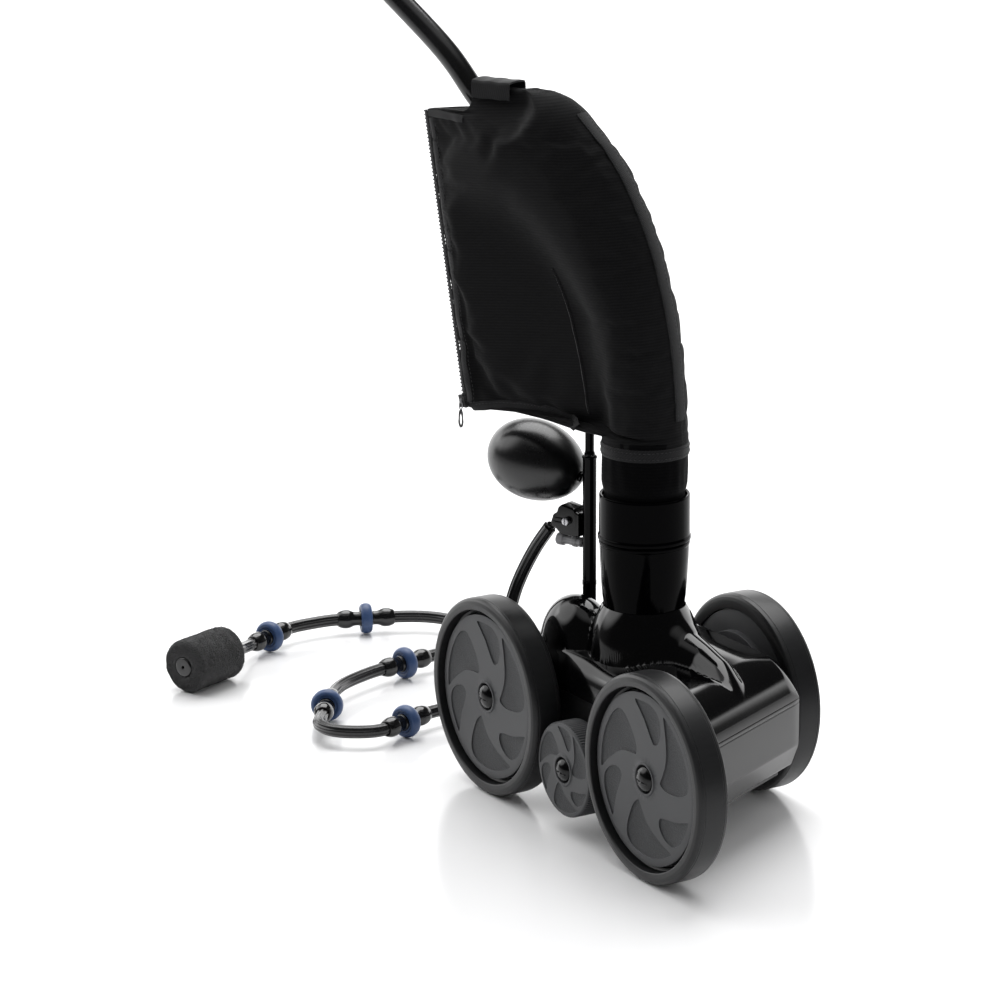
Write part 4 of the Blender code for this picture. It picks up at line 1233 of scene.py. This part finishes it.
def seamLines():
    front = bagSpec["front"]
    done = []
    # binding down the middle of the front edge
    line = [Vector(p) for p in front if 0.362 < p[1] < 0.66]
    path = []
    outs = []
    for a, b in zip(line, line[1:]):
        n = max(int((b - a).length / 0.0035), 1)
        for k in range(n):
            q = a + (b - a) * (k / n)
            slope = (b - a).normalized()
            out = (bagU * -slope.y + upward * slope.x).normalized()
            p = bagPoint(q.x, 0, q.y)
            hit = bagTree.ray_cast(p + out * 0.03, -out)
            path.append(hit[0] if hit[0] is not None else p)
            outs.append(out)
    path, outs = eased(path, outs, 4)
    done.append(sweepBand("frontBinding", path, outs, 0.015, 0.0013, bindingTape, wave=0.08))
    for k, aside in enumerate((-0.0052, 0.0052)):
        stitches("frontStitch_%d" % k, [p + bagN * aside for p in path], outs, 0.0012, threadGrey)
    for side, tag in ((1, "near"), (-1, "away")):
        # lower hem
        line = [(0.058, 0.3655), (0.08, 0.3685), (0.102, 0.372), (0.131, 0.3715), (0.16, 0.369),
                (0.192, 0.3625)]
        path, outs = eased(*alongBag(line, side))
        done.append(sweepBand("lowHem_" + tag, path, outs, 0.0085, 0.001, bindingTape, wave=0.14))
        stitches("lowStitch_" + tag, [p + upward * 0.0022 for p in path], outs, 0.0009, threadGrey)
        # top corner hem
        line = [(0.189, 0.6375), (0.205, 0.6378), (0.222, 0.6378), (0.2405, 0.6372)]
        path, outs = eased(*alongBag(line, side, 0.003))
        done.append(sweepBand("topHem_" + tag, path, outs, 0.007, 0.001, bindingTape, wave=0.12))
        # zip tape and its two stitch rows
        zs = np.linspace(0.366, 0.633, 60)
        for k, inset in enumerate((0.0062, 0.0118)):
            line = [(float(rearU(z)) - inset, float(z)) for z in zs]
            path, outs = eased(*alongBag(line, side, 0.004))
            if k == 0:
                done.append(sweepBand("zipTape_" + tag, path, outs, 0.0075, 0.0008, bindingTape, wave=0.08))
            stitches("zipStitch_%s_%d" % (tag, k), path, outs, 0.0008, threadGrey)
        # ridge that runs up from the lower edge
        line = [(0.054, 0.376), (0.0575, 0.4), (0.062, 0.424), (0.068, 0.445), (0.0735, 0.465), (0.082, 0.487),
                (0.092, 0.508)]
        path, outs = eased(*alongBag(line, side))
        done.append(sweepBand("dartFold_" + tag, path, outs, 0.0028, 0.0012, bindingTape, wave=0.3, bulge=0.8))
        stitches("dartStitch_" + tag, path, outs, 0.0012, threadGrey)
    # band round the mouth of the sleeve
    path = []
    outs = []
    for k in range(97):
        t = 2 * math.pi * k / 96
        p = bagPoint(0.0398 * math.cos(t), 0.0398 * math.sin(t), 0.3505)
        out = (p - bagPoint(0, 0, 0.3505)).normalized()
        hit = bagTree.ray_cast(p + out * 0.03, -out)
        path.append((hit[0] if hit[0] is not None else p) + out * 0.0002)
        outs.append(out)
    done.append(sweepBand("mouthBand", path, outs, 0.0115, 0.0011, bindingTape, wave=0.05))
    for k, lift in enumerate((-0.003, 0.003)):
        stitches("mouthStitch_%d" % k, [p + upward * lift for p in path], outs, 0.0014, threadGrey)


threadGrey = moulded("threadGrey", (0.03, 0.03, 0.031), 0.7, 900.0, 0.00003, tone=0.3, spec=0.3)
seamLines()


def strapLoop():
    # flat hanging strap folded over the top of the bag
    across = [(-0.0132, 0.6575), (-0.0138, 0.666), (-0.0136, 0.6715), (-0.012, 0.6738), (-0.006, 0.6746),
              (0.0, 0.6748),
              (0.006, 0.6746), (0.012, 0.6738), (0.0136, 0.6715), (0.0138, 0.666), (0.0132, 0.6575)]
    path = [Vector(p) for p in across]
    ring = []
    for i, p in enumerate(path):
        d = (path[min(i + 1, len(path) - 1)] - path[max(i - 1, 0)]).normalized()
        ring.append((p, Vector((d.y, -d.x))))
    outer = [p for p, n in ring]
    inner = [(p + n * 0.0016) for p, n in ring][::-1]
    section = softened([tuple(p) for p in outer + inner], 0.0006, 2)
    rings = []
    cols = 26
    for i in range(cols + 1):
        u = 0.1415 + 0.042 * i / cols
        sag = 0.0006 * math.sin(i * 0.55) + 0.0007 * noise.noise(Vector((u * 60, 0, 0)))
        rings.append([bagPoint(u, a + 0.0005 * noise.noise(Vector((u * 50, b * 60, 2))),
                               b + sag * 0.5) for a, b in section])
    piece = ringSolid("hangStrap", rings, bindingTape, "chassis", crease=45)
    unwrap(piece.data, [(i * 0.002, j * 0.0016) for i in range(cols + 1) for j in range(len(section))])
    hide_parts("bag_strap")


strapLoop()


def zipLine():
    foot, head = bagSpec["zipFoot"], bagSpec["zipHead"]
    low = bagSpec["zipStart"]
    a = bagPoint(foot[0] + (head[0] - foot[0]) * (low - foot[1]) / (head[1] - foot[1]) + 0.0028, 0, low)
    b = bagPoint(head[0] + 0.0028, 0, head[1])
    way = (b - a).normalized()
    out = (bagU - way * bagU.dot(way)).normalized()
    return a, b, way, out


zipA, zipB, zipWay, zipOut = zipLine()


def zipTeeth():
    # interlocking moulded teeth on a cord core
    verts = []
    faces = []
    count = 158
    length = (zipB - zipA).length
    core = [(-0.0012, -0.0008), (0.0012, -0.0008), (0.0012, 0.0008), (-0.0012, 0.0008)]

    def prism(rings):
        start = len(verts)
        m = len(rings[0])
        for ring in rings:
            verts.extend(ring)
        fs, _ = ringFaces(len(rings), m, False)
        faces.extend(tuple(start + v for v in f) for f in fs)
        faces.append(tuple(start + v for v in range(m)))
        faces.append(tuple(start + (len(rings) - 1) * m + v for v in range(m)))

    prism([[zipA + zipWay * (length * k / 40) + zipOut * x + bagN * y for x, y in core] for k in range(41)])
    for k in range(count):
        side = 1 if k % 2 else -1
        c = zipA + zipWay * (length * (k + 0.5) / count)
        h = length / count * 0.42
        rings = []
        for n, grow in ((0.0002, 0.75), (0.0005, 1.0), (0.0011, 1.0), (0.00135, 0.7)):
            rings.append([c + bagN * (side * n) + zipOut * (x * grow) + zipWay * (y * grow)
                          for x, y in ((-0.002, -h), (0.0018, -h), (0.0022, -h * 0.4), (0.0022, h * 0.4),
                                       (0.0018, h), (-0.002, h))])
        prism(rings)
    piece = addMesh("zipTeeth", verts, faces, zipPlastic, "chassis", crease=40)
    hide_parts("zip_chain")


zipPlastic = moulded("zipPlastic", (0.012, 0.012, 0.013), 0.34, 900.0, 0.00003, tone=0.2, spec=0.5)
zipTeeth()


def zipSlider():
    base = zipA + zipWay * 0.001
    outline = [(-0.0018, 0.0017), (-0.0018, 0.0031), (-0.0006, 0.0036), (0.0044, 0.0036), (0.006, 0.0022),
               (0.0064, 0.0),
               (0.006, -0.0022), (0.0044, -0.0036), (-0.0006, -0.0036), (-0.0018, -0.0031),
               (-0.0018, -0.0017), (0.0027, -0.0016),
               (0.0029, 0.0), (0.0027, 0.0016)]
    prof = softened(outline, 0.0005, 2)
    rings = []
    for t, k in ((0.0, 0.93), (0.0006, 1.0), (0.0035, 1.0), (0.007, 0.93), (0.01, 0.98), (0.0114, 1.0),
                 (0.012, 0.94)):
        rings.append([base + zipWay * t + zipOut * (x if x < 0.003 and abs(y) < 0.0018 else x * k)
                      + bagN * (y if abs(y) < 0.0018 else y * k) for x, y in prof])
    piece = ringSolid("zipRunner", rings, zipPlastic, "zip_runner", crease=40)
    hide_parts("zip_slider")


zipSlider()


def ovalLink(name, centre, du, dv, dn, w, h, r, mat, body, flat=1.0):
    rings = []
    for k in range(40):
        t = 2 * math.pi * k / 40
        c = centre + du * (w * math.cos(t)) + dv * (h * math.sin(t))
        out = (du * (math.cos(t) / w) + dv * (math.sin(t) / h)).normalized()
        rings.append([c + out * (r * math.cos(a)) + dn * (r * flat * math.sin(a)) for a in np.linspace(0,
                2 * math.pi, 13)[:-1]])
    return ringSolid(name, rings, mat, body, loop=True)


def zipPull():
    # flat tab with rounded ends, a window and a hanging ring
    place = zipA + zipWay * 0.007 + zipOut * 0.0016 + bagN * 0.0048
    n = 28
    outer = []
    for k in range(n):
        t = 2 * math.pi * k / n
        u = 0.003 * math.cos(t) * (1 if math.sin(t) < 0 else 0.85)
        z = -0.0165 + (0.009 * abs(math.sin(t)) ** 0.7 * math.copysign(1, math.sin(t)))
        outer.append((u, z))
    hole = [(0.0014 * math.cos(2 * math.pi * k / n),
             -0.0175 + 0.0055 * math.sin(2 * math.pi * k / n)) for k in range(n)]
    rings = []
    for row, lift in ((outer, -0.0005), (outer, 0.0005), (hole, 0.0005), (hole, -0.0005)):
        k = 0.96 if row is outer else 1.0
        rings.append([place + bagU * (u * k) + upward * z + bagN * lift for u, z in row])
    rings.insert(1, [place + bagU * u + upward * z for u, z in outer])
    piece = ringSolid("zipTab", rings, zipPlastic, "zip_tab", loop=True, crease=50)
    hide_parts("zip_pull")
    eye = ovalLink("zipTabEye", place + upward * -0.004, bagU, upward, bagN, 0.0017, 0.004, 0.00055,
                   steelDull, "zip_tab")
    bridge = ovalLink("zipBridge", place + upward * 0.0004 - bagN * 0.0006, bagN, upward, bagU, 0.0011,
                      0.0022, 0.0005,
                      steelDull, "zip_runner")


zipPull()


def cuffSleeve():
    # cloth cuff between the collar and the bag, slightly drawn in and creased
    n = 160
    rings = []
    uvs = []
    prof = [(0.0357, 0.2792), (0.0372, 0.2792)]
    rows = 46
    for k in range(rows + 1):
        prof.append((0.038, 0.2805 + (0.361 - 0.2805) * k / rows))
    prof += [(0.0374, 0.3618), (0.0357, 0.3618)]
    for r, z in prof:
        ring = []
        for j in range(n):
            t = 2 * math.pi * j / n
            rr = r
            if r > 0.0375:
                free = min(max((z - 0.3065) / 0.012, 0), 1)
                tuck = 0.0009 * math.exp(-((z - 0.3085) / 0.0035) ** 2)
                q = Vector((math.cos(t) * 1.6, math.sin(t) * 1.6, z * 22))
                fold = 0.0011 * noise.noise(q) + 0.0006 * noise.noise(Vector((math.cos(t) * 5,
                        math.sin(t) * 5, z * 40)))
                rr = (0.0377 if free <= 0 else 0.0377 + 0.0016 * free) + fold * free - tuck
                rr = max(rr, 0.0366)
            ring.append(at(tubeSpec["x"], tubeSpec["y"], z) + Vector((math.cos(t), math.sin(t), 0)) * rr)
            uvs.append((t * 0.038, z))
        rings.append(ring)
    piece = ringSolid("cuffCloth", rings, cuffCloth, "chassis", loop=True, crease=50)
    unwrap(piece.data, uvs)
    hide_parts("bag_cuff")


cuffSleeve()
print("seams, strap, zip and cuff done")

# ---------- hoses ----------

hoseSpec = {
    "feedR": 0.011,
    "floorR": 0.00625, "height": 0.0165,
    "couplingLen": 0.062,
    "ribs": 9, "ribDepth": 0.00045,
}


def flowing(points, step):
    # even steps along a smooth curve through the points
    pts = [Vector(p) for p in points]
    pts = [pts[0] * 2 - pts[1]] + pts + [pts[-1] * 2 - pts[-2]]
    dense = []
    for k in range(1, len(pts) - 2):
        p0, p1, p2, p3 = pts[k - 1:k + 3]
        t1 = (p1 - p0).length ** 0.5
        t2 = t1 + (p2 - p1).length ** 0.5
        t3 = t2 + (p3 - p2).length ** 0.5
        for i in range(16):
            t = t1 + (t2 - t1) * i / 16
            a1 = p0 * ((t1 - t) / t1) + p1 * (t / t1)
            a2 = p1 * ((t2 - t) / (t2 - t1)) + p2 * ((t - t1) / (t2 - t1))
            a3 = p2 * ((t3 - t) / (t3 - t2)) + p3 * ((t - t2) / (t3 - t2))
            b1 = a1 * ((t2 - t) / t2) + a2 * (t / t2)
            b2 = a2 * ((t3 - t) / (t3 - t1)) + a3 * ((t - t1) / (t3 - t1))
            dense.append(b1 * ((t2 - t) / (t2 - t1)) + b2 * ((t - t1) / (t2 - t1)))
    dense.append(pts[-2])
    run = [0.0]
    for a, b in zip(dense, dense[1:]):
        run.append(run[-1] + (b - a).length)
    count = max(int(round(run[-1] / step)), 2)
    xyz = np.array([tuple(p) for p in dense])
    return [Vector([float(np.interp(run[-1] * i / count, run,
                                    xyz[:, c])) for c in range(3)]) for i in range(count + 1)]


def rounder(path, rounds):
    for _ in range(rounds):
        path = [path[0], path[1]] + [(path[i - 1] + path[i] * 2 + path[i + 1]) / 4 for i in range(2,
                len(path) - 2)] + path[-2:]
    return path


def frames(path, start):
    side = Vector(start)
    out = []
    for i, p in enumerate(path):
        way = (path[min(i + 1, len(path) - 1)] - path[max(i - 1, 0)]).normalized()
        side = (side - way * side.dot(way)).normalized()
        out.append((p, way, side, way.cross(side)))
    return out


def hoseTube(name, path, r, n, mat, body, bore, shape=None):
    # hollow hose along a path: shape changes the radius with (run, angle)
    rings = []
    run = 0.0
    spots = frames(path, (0, 0, 1) if abs((path[1] - path[0]).normalized().z) < 0.9 else (1, 0, 0))
    for i, (p, way, side, other) in enumerate(spots):
        if i:
            run += (p - spots[i - 1][0]).length
        ring = []
        for j in range(n):
            t = 2 * math.pi * j / n
            rr = shape(run, t) if shape else r
            ring.append(p + side * (rr * math.cos(t)) + other * (rr * math.sin(t)))
        rings.append(ring)
    for i, edge in ((0, spots[0]), (len(rings) + 1, spots[-1])):   # flat cut ends
        p, way, side, other = edge
        rings.insert(i,
                     [p + side * (bore * math.cos(2 * math.pi * j / n)) + other * (bore * math.sin(2 * math.pi * j / n))
                         for j in range(n)])
    return ringSolid(name, rings, mat, body, crease=60)


def hoseFinish(name, base, rough, streak):
    # extruded hose skin: die lines along its length, faint rub marks
    f = Finish(name, Coat=0.15, CoatRough=0.08, Specular=0.45)
    p = f.where()
    slow = f.cloud(p, 14.0, 3.0)
    fine = f.cloud(p, streak, 2.0)
    scuff = f.cells(p, 90.0)
    pale = tuple(c * 2.4 for c in base)
    f.put("BaseColor", f.blendColour(f.span(slow + fine * 0.3, 0.5, 1.0, 0.0, 0.8), base, pale))
    f.put("Roughness", rough + (slow - 0.5) * 0.12 + f.span(scuff, 0.0, 0.25, 0.06, 0.0))
    f.put("Normal", f.relief(fine, 0.00005, 0.5))
    return f.mat


feedSkin = hoseFinish("feedSkin", (0.006, 0.006, 0.0064), 0.2, 420.0)
ribbedSkin = hoseFinish("ribbedSkin", (0.01, 0.01, 0.0105), 0.22, 600.0)


def bluePlastic():
    # soft blue wear rings, scuffed paler on their rims
    f = Finish("blueRing", Specular=0.4)
    p = f.where()
    slow = f.cloud(p, 55.0, 3.0)
    fine = f.cloud(p, 900.0, 2.0)
    rub = f.cells(f.stretch(p, (1, 1, 3)), 260.0)
    f.put("BaseColor", f.blendColour(f.span(slow + fine * 0.25, 0.4, 1.0, 0.0, 1.0), (0.034, 0.066, 0.16),
                                     (0.056, 0.1, 0.215)))
    f.put("Roughness", 0.4 + (slow - 0.5) * 0.14 + f.span(rub, 0.0, 0.2, 0.08, 0.0))
    f.put("Normal", f.relief(fine, 0.00006, 0.6))
    return f.mat


ringBlue = bluePlastic()


def feedHose():
    s = hoseSpec
    top = bagPoint(pipeSpec["u"], pipeSpec["n"], pipeSpec["top"])
    route = [top + upward * 0.012, top + upward * 0.024, bagPoint(0.0812, -0.032, 0.497),
             bagPoint(0.09, -0.05, 0.53),
             bagPoint(0.12, -0.058, 0.575), bagPoint(0.17, -0.05, 0.611), bagPoint(0.208, -0.038, 0.638),
             bagPoint(0.2312, -0.036, 0.675), bagPoint(0.2617, -0.036, 0.701), bagPoint(0.325, -0.036, 0.75)]
    line = rounder(flowing(route, 0.0065), 26)

    def skin(run, t):
        return s["feedR"] + 0.00012 * math.sin(t * 2 + run * 6)

    hose = hoseTube("feedHose", line, s["feedR"], 56, feedSkin, "chassis", 0.007, skin)
    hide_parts("feed_hose")
    way = (line[-1] - line[-2]).normalized()
    fit = [(0.007, 0.0003), (0.0142, 0.0003), (0.015, 0.0014), (0.015, 0.006), (0.0143, 0.0068),
           (0.0143, 0.024), (0.015, 0.025),
           (0.015, 0.03), (0.014, 0.0312), (0.0126, 0.0325), (0.0126, 0.0345), (0.0118, 0.0352),
           (0.0118, 0.038), (0.0126, 0.0388),
           (0.0126, 0.043), (0.012, 0.044), (0.0074, 0.044), (0.007, 0.043)]

    def grips(r0, a, t):
        if r0 > 0.0139 and 0.0064 < a < 0.0245:
            return r0 - 0.0006 * (0.5 + 0.5 * math.cos(18 * t)) ** 3, a
        return r0, a

    plug = turned("quickConnect", fit, pipeGloss, "chassis", line[-1], way, n=144, soft=0.0004, wobble=grips)
    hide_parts("hose_connector")


feedHose()

couplings = [(-0.1035, 0.453, -0.943, -0.334), (-0.1461, 0.5392, 0.6, 0.8), (-0.0107, 0.619, 0.984, 0.178),
             (0.0315, 0.7795, -0.929, 0.37), (-0.088, 0.776, -0.897, -0.441)]
foamSpec = {"face": (-0.2292, 0.696, 0.0278), "way": (-0.924, -0.382, 0), "length": 0.068, "radius": 0.0278}


def through(k):
    x, y, dx, dy = couplings[k]
    size = math.hypot(dx, dy)
    far = hoseSpec["couplingLen"] / 2 + 0.007
    return [at(x + dx / size * q, y + dy / size * q, hoseSpec["height"]) for q in (-far, -far + 0.007,
            far - 0.007, far)]


def sweepHose():
    s = hoseSpec
    h = s["height"]
    face = at(*foamSpec["face"])
    way = Vector(foamSpec["way"]).normalized()
    route = [barbAt + barbWay * 0.0102, barbAt + barbWay * 0.022, barbAt + barbWay * 0.034,
             bagPoint(0.16, -0.02, 0.183),
             at(-0.074, 0.313, 0.135), at(-0.07, 0.346, 0.08), at(-0.05, 0.39, 0.037), at(-0.026, 0.424, 0.018),
             at(-0.03, 0.462, h)]
    route += through(0) + [at(-0.1766, 0.462, h), at(-0.183, 0.489, h)] + through(1) + [at(-0.1, 0.59, h)]
    route += through(2) + [at(0.062, 0.633, h), at(0.1, 0.66, h), at(0.112, 0.705, h), at(0.095, 0.745, h)]
    route += through(3) + [at(-0.024, 0.794, h)] + through(4)
    route += [face - way * (foamSpec["length"] + 0.016) - upward * 0.003,
              face - way * (foamSpec["length"] - 0.004)]
    line = rounder(flowing(route, 0.004), 10)

    def skin(run, t):
        rib = 0.5 + 0.5 * math.cos(s["ribs"] * t)
        return s["floorR"] + 0.00035 - s["ribDepth"] * 1.6 * (1 - rib ** 0.7)

    hose = hoseTube("floorHose", line, s["floorR"], 72, ribbedSkin, "chassis", 0.003, skin)
    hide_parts("sweep_hose")
    pieces = []
    half = s["couplingLen"] / 2
    for k, (x, y, dx, dy) in enumerate(couplings):
        way = Vector((dx, dy, 0)).normalized()
        mid = at(x, y, h)
        sleeve = [(s["floorR"] + 0.0006, -half), (0.0072, -half - 0.0002), (0.0082, -half + 0.0008),
                  (0.0098, -half + 0.005),
                  (0.0102, -half + 0.0085), (0.0101, -0.019), (0.0092, -0.0165), (0.008, -0.014),
                  (0.0076, -0.012),
                  (0.0076, -0.0075), (0.0086, -0.0068), (0.0086, 0.0068), (0.0076, 0.0075), (0.0076, 0.012),
                  (0.008, 0.014),
                  (0.0092, 0.0165), (0.0101, 0.019), (0.0102, half - 0.0085), (0.0098, half - 0.005),
                  (0.0082, half - 0.0008),
                  (0.0072, half + 0.0002), (s["floorR"] + 0.0006, half)]
        piece = turned("hoseJoint_%d" % k, sleeve, jointGloss, "chassis", mid, way, n=72, soft=0.001)
        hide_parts("hose_coupling_%d" % (k + 1))
        pieces.append(piece)
        tyre = []
        for q in range(22):
            t = 2 * math.pi * q / 22
            tyre.append((0.0129 + 0.0036 * math.cos(t), 0.0061 * math.sin(t)))

        def split(r0, a, t, k=k):   # moulded joint across the ring
            nick = math.exp(-((math.sin((t - 1.2 - k) / 2)) / 0.012) ** 2)
            return r0 - 0.0005 * nick, a * (1 - 0.05 * nick)

        ring = turned("wearRing_%d" % k, tyre, ringBlue, "chassis", mid, way, n=96, soft=0, wobble=split)
        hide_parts("wear_ring_%d" % (k + 1))
        hub = turned("ringHub_%d" % k, [(0.0087, -0.005), (0.01, -0.005), (0.0108, -0.0035),
                                        (0.0108, 0.0035), (0.01, 0.005),
                                        (0.0087, 0.005)], ringBlue, "chassis", mid, way, n=72)
        pieces += [ring, hub]
    return hose, line, pieces


jointGloss = glossy("jointGloss", (0.006, 0.006, 0.0064), 0.09, 0.3)
floorHose, floorLine, onHose = sweepHose()
print("floor hose laid")

# ---------- scrubber ----------


def foamFinish():
    # open-cell foam: pores darkened with painted shade between paler strands
    f = Finish("foamPores", Sheen=0.15, SheenRough=0.6, Specular=0.15)
    p = f.where()
    big = f.cells(p, 560.0)
    small = f.cells(p, 1250.0)
    strand = f.node(
        "ShaderNodeTexVoronoi", {"feature": "DISTANCE_TO_EDGE"}, {"Vector": p, "Scale": 560.0})
    slow = f.cloud(p, 40.0, 3.0)
    # painted shade: the colour darkens away from the cell edges, into the pores
    dark = f.span(strand, 0.02, 0.22, 1.0, 0.0)
    f.put("BaseColor", f.blendColour(dark * 0.8 + small * 0.25, (0.008, 0.008, 0.0085), (0.06, 0.06, 0.062)))
    f.put("Roughness", 0.88 + (slow - 0.5) * 0.1)
    f.put("Normal", f.relief(f.span(strand, 0.0, 0.2, 1.0, 0.0) + big * 0.4, 0.0009, 1.0))
    return f.mat


def scrubber():
    # foam sleeve with a soft ragged skin
    face = at(*foamSpec["face"])
    way = Vector(foamSpec["way"]).normalized()
    length, rad = foamSpec["length"], foamSpec["radius"]
    prof = [(0.0078, 0.0)]
    prof += [(0.0078 + (rad - 0.0052 - 0.0078) * k / 12, 0.0 + 0.0006 * math.sin(k)) for k in range(1, 13)]
    prof += [(rad - 0.0052 + 0.005 * math.sin(a), 0.0052 - 0.0052 * math.cos(a)) for a in np.linspace(0.2,
            1.5708, 7)]
    prof += [(rad - 0.0002, 0.0052 + (length - 0.0104) * k / 46) for k in range(1, 46)]
    prof += [(rad - 0.0052 + 0.005 * math.cos(a),
              length - 0.0052 + 0.0052 * math.sin(a)) for a in np.linspace(0.0, 1.45, 8)]
    prof += [(rad - 0.0056 - (rad - 0.0056 - 0.0112) * k / 10, length) for k in range(1, 11)]
    prof += [(0.0108, length - 0.0008), (0.0107, length - 0.0046), (0.0078, length - 0.0052)]

    def ragged(r0, a, t):
        if r0 < 0.011:
            return r0, a
        q = Vector((r0 * math.cos(t), r0 * math.sin(t), a))
        lump = 0.001 * noise.noise(q * 95) + 0.00055 * noise.noise(q * 420) - 0.0003
        edgeOn = 1.0 if r0 > rad - 0.003 else 0.4
        face = 0.0005 * noise.noise(q * 380)
        return min(r0 + lump * edgeOn, rad + 0.0006), min(max(a + face * (1 - edgeOn) * 1.5, 0.0),
                                                          length + 0.0006)

    foam = turned("foamSleeve", prof, foamFinish(), "chassis", face - way * length, way, n=220, soft=0,
                  wobble=ragged)
    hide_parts("tail_scrubber")
    verts = []
    faces = []
    spin = np.random.default_rng(7)
    x, y, z = axes(way)
    for k in range(5200):   # short strands stand off the cut skin
        t = spin.uniform(0, 2 * math.pi)
        if spin.uniform() < 0.78:
            a = spin.uniform(0.003, length - 0.003)
            base = face - way * length + z * a + (x * math.cos(t) + y * math.sin(t)) * (rad - 0.0008)
            out = (x * math.cos(t) + y * math.sin(t))
        else:
            r = 0.0125 + (rad - 0.004 - 0.0125) * math.sqrt(spin.uniform())
            base = face + (x * math.cos(t) + y * math.sin(t)) * r - z * 0.0003
            out = z
        lean = Vector(spin.normal(0, 0.6, 3))
        dirn = (out + lean * 0.7).normalized()
        tall = spin.uniform(0.0006, 0.0017)
        sideA = dirn.cross(out + Vector((0.01, 0.02, 0.03))).normalized()
        sideB = dirn.cross(sideA)
        w = 0.00022
        start = len(verts)
        verts += [base + sideA * w, base - sideA * w * 0.5 + sideB * w, base - sideA * w * 0.5 - sideB * w,
                  base + dirn * tall]
        faces += [(start, start + 1, start + 2), (start, start + 3, start + 1),
                  (start + 1, start + 3, start + 2),
                  (start + 2, start + 3, start)]
    if verts:
        strands = addMesh("foamStrands", verts, faces, foam.data.materials[0], "chassis", smooth=False)
    cap = [(0.0016, 0.0), (0.0098, 0.0), (0.0102, 0.001), (0.0103, 0.0034), (0.0098, 0.0044),
           (0.009, 0.0048), (0.005, 0.0049),
           (0.0022, 0.0049), (0.0016, 0.0044)]
    plug = turned("scrubberPlug", cap, jointGloss, "chassis", face - way * 0.0037, way, n=64, soft=0.0004)
    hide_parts("scrubber_plug")
    return foam, plug


foamSleeve, foamPlug = scrubber()

# ---------- inner parts that keep their made shape ----------


def dress(names, mat):
    for key in names:
        nodes[key].data.materials.clear()
        nodes[key].data.materials.append(mat)


innerGrey = moulded("innerGrey", (0.19, 0.2, 0.21), 0.45, 800.0, 0.00004, tone=0.15)
dress(["base_frame", "turbine_cover", "axle_block_front", "axle_block_rear", "axle_block_far",
       "idler_axle"], framePlastic)
dress(["drive_shaft", "drive_roller_near", "drive_roller_far"], steelBrushed)
dress(["turbine_rotor", "vacuum_jet_left", "vacuum_jet_right"], innerGrey)

# ---------- floor and light ----------


class Sky(Finish):
    def __init__(self, name):
        world = bpy.data.worlds.new(name)
        bpy.context.scene.world = world
        world.use_nodes = True
        self.tree = world.node_tree
        self.shader = self.tree.nodes["Background"]


def sunLight(name, way, strength, spread, shine=False):
    lamp = bpy.data.lights.new(name, "SUN")
    lamp.energy = strength
    lamp.angle = math.radians(spread)
    ob = bpy.data.objects.new(name, lamp)
    bpy.context.scene.collection.objects.link(ob)
    ob.rotation_euler = Vector(way).to_track_quat("-Z", "Y").to_euler()
    ob.visible_glossy = shine


light = {
    "room": 0.05,                    # dim walls of the studio
    "backdrop": 1.9,                 # bright screen behind the machine
    "backTop": 0.38,                 # how high the screen reaches
    "backWay": (0.514, 0.858),
    "sides": 0.14,
    "overhead": 0.7,                 # soft light tent above
    "keyWay": (-0.3, -0.42, -1.0),  # way the key light travels
    "key": 2.5,
    "fillWay": (0.45, 0.75, -0.75),
    "fill": 0.18,
    "frontWay": (-0.35, 0.75, -0.55),
    "front": 0.8,
    "softWay": (-0.49, 0.62, 0.62),  # where the soft box at the back left stands
    "softBox": 2.2,
}


def floorAndLights(s, l):
    f = Finish("floorPaint", Specular=0.5)
    p = f.where()
    f.put("BaseColor", f.blendColour(f.cloud(p, 3.0), tuple(c * 0.99 for c in s["floorColour"]),
                                     s["floorColour"]))
    f.put("Roughness", s["floorRough"] + f.cloud(p, 5.0) * 0.03)
    verts = [(-30, -30, -0.0004), (30, -30, -0.0004), (30, 30, -0.0004), (-30, 30, -0.0004)]
    floor = addMesh("floor", verts, [(0, 1, 2, 3)], f.mat, None, smooth=False)
    sky = Sky("studioSky")
    d = sky.node("ShaderNodeTexCoord", out=0)
    z = sky.node("ShaderNodeSeparateXYZ", None, {0: d}, out=2)
    back = sky.node("ShaderNodeVectorMath", {"operation": "DOT_PRODUCT"}, {0: d, 1: (*l["backWay"], 0)}, out=1)
    flat = (1.0 - z * z) ** 0.5
    az = back / (flat + 0.0001)
    screen = sky.span(az, 0.42, 0.5, 0.0, 1.0) * sky.span(z, l["backTop"], l["backTop"] + 0.06, 1.0, 0.0)
    sides = sky.span(az, -0.2, 0.5, 0.0, 1.0) * sky.span(z, 0.25, 0.45, 1.0, 0.0)
    above = sky.span(z, 0.8, 0.92, 0.0, 1.0)
    box = sky.node("ShaderNodeVectorMath", {"operation": "DOT_PRODUCT"},
                   {0: d, 1: tuple(Vector(l["softWay"]).normalized())}, out=1)
    soft = sky.span(box, 0.86, 0.94, 0.0, 1.0)
    total = l["room"] + screen * l["backdrop"] + sides * l["sides"] + above * l["overhead"] + soft * l["softBox"]
    sky.join(sky.shader.inputs["Strength"], total)
    sky.shader.inputs["Color"].default_value = (1, 1, 1, 1)
    sunLight("keySun", l["keyWay"], l["key"], 50, True)
    sunLight("fillSun", l["fillWay"], l["fill"], 80)
    sunLight("frontSun", l["frontWay"], l["front"], 70)
    bpy.context.scene.view_settings.view_transform = "Standard"


floorAndLights(studio, light)
print("floor and lights done")
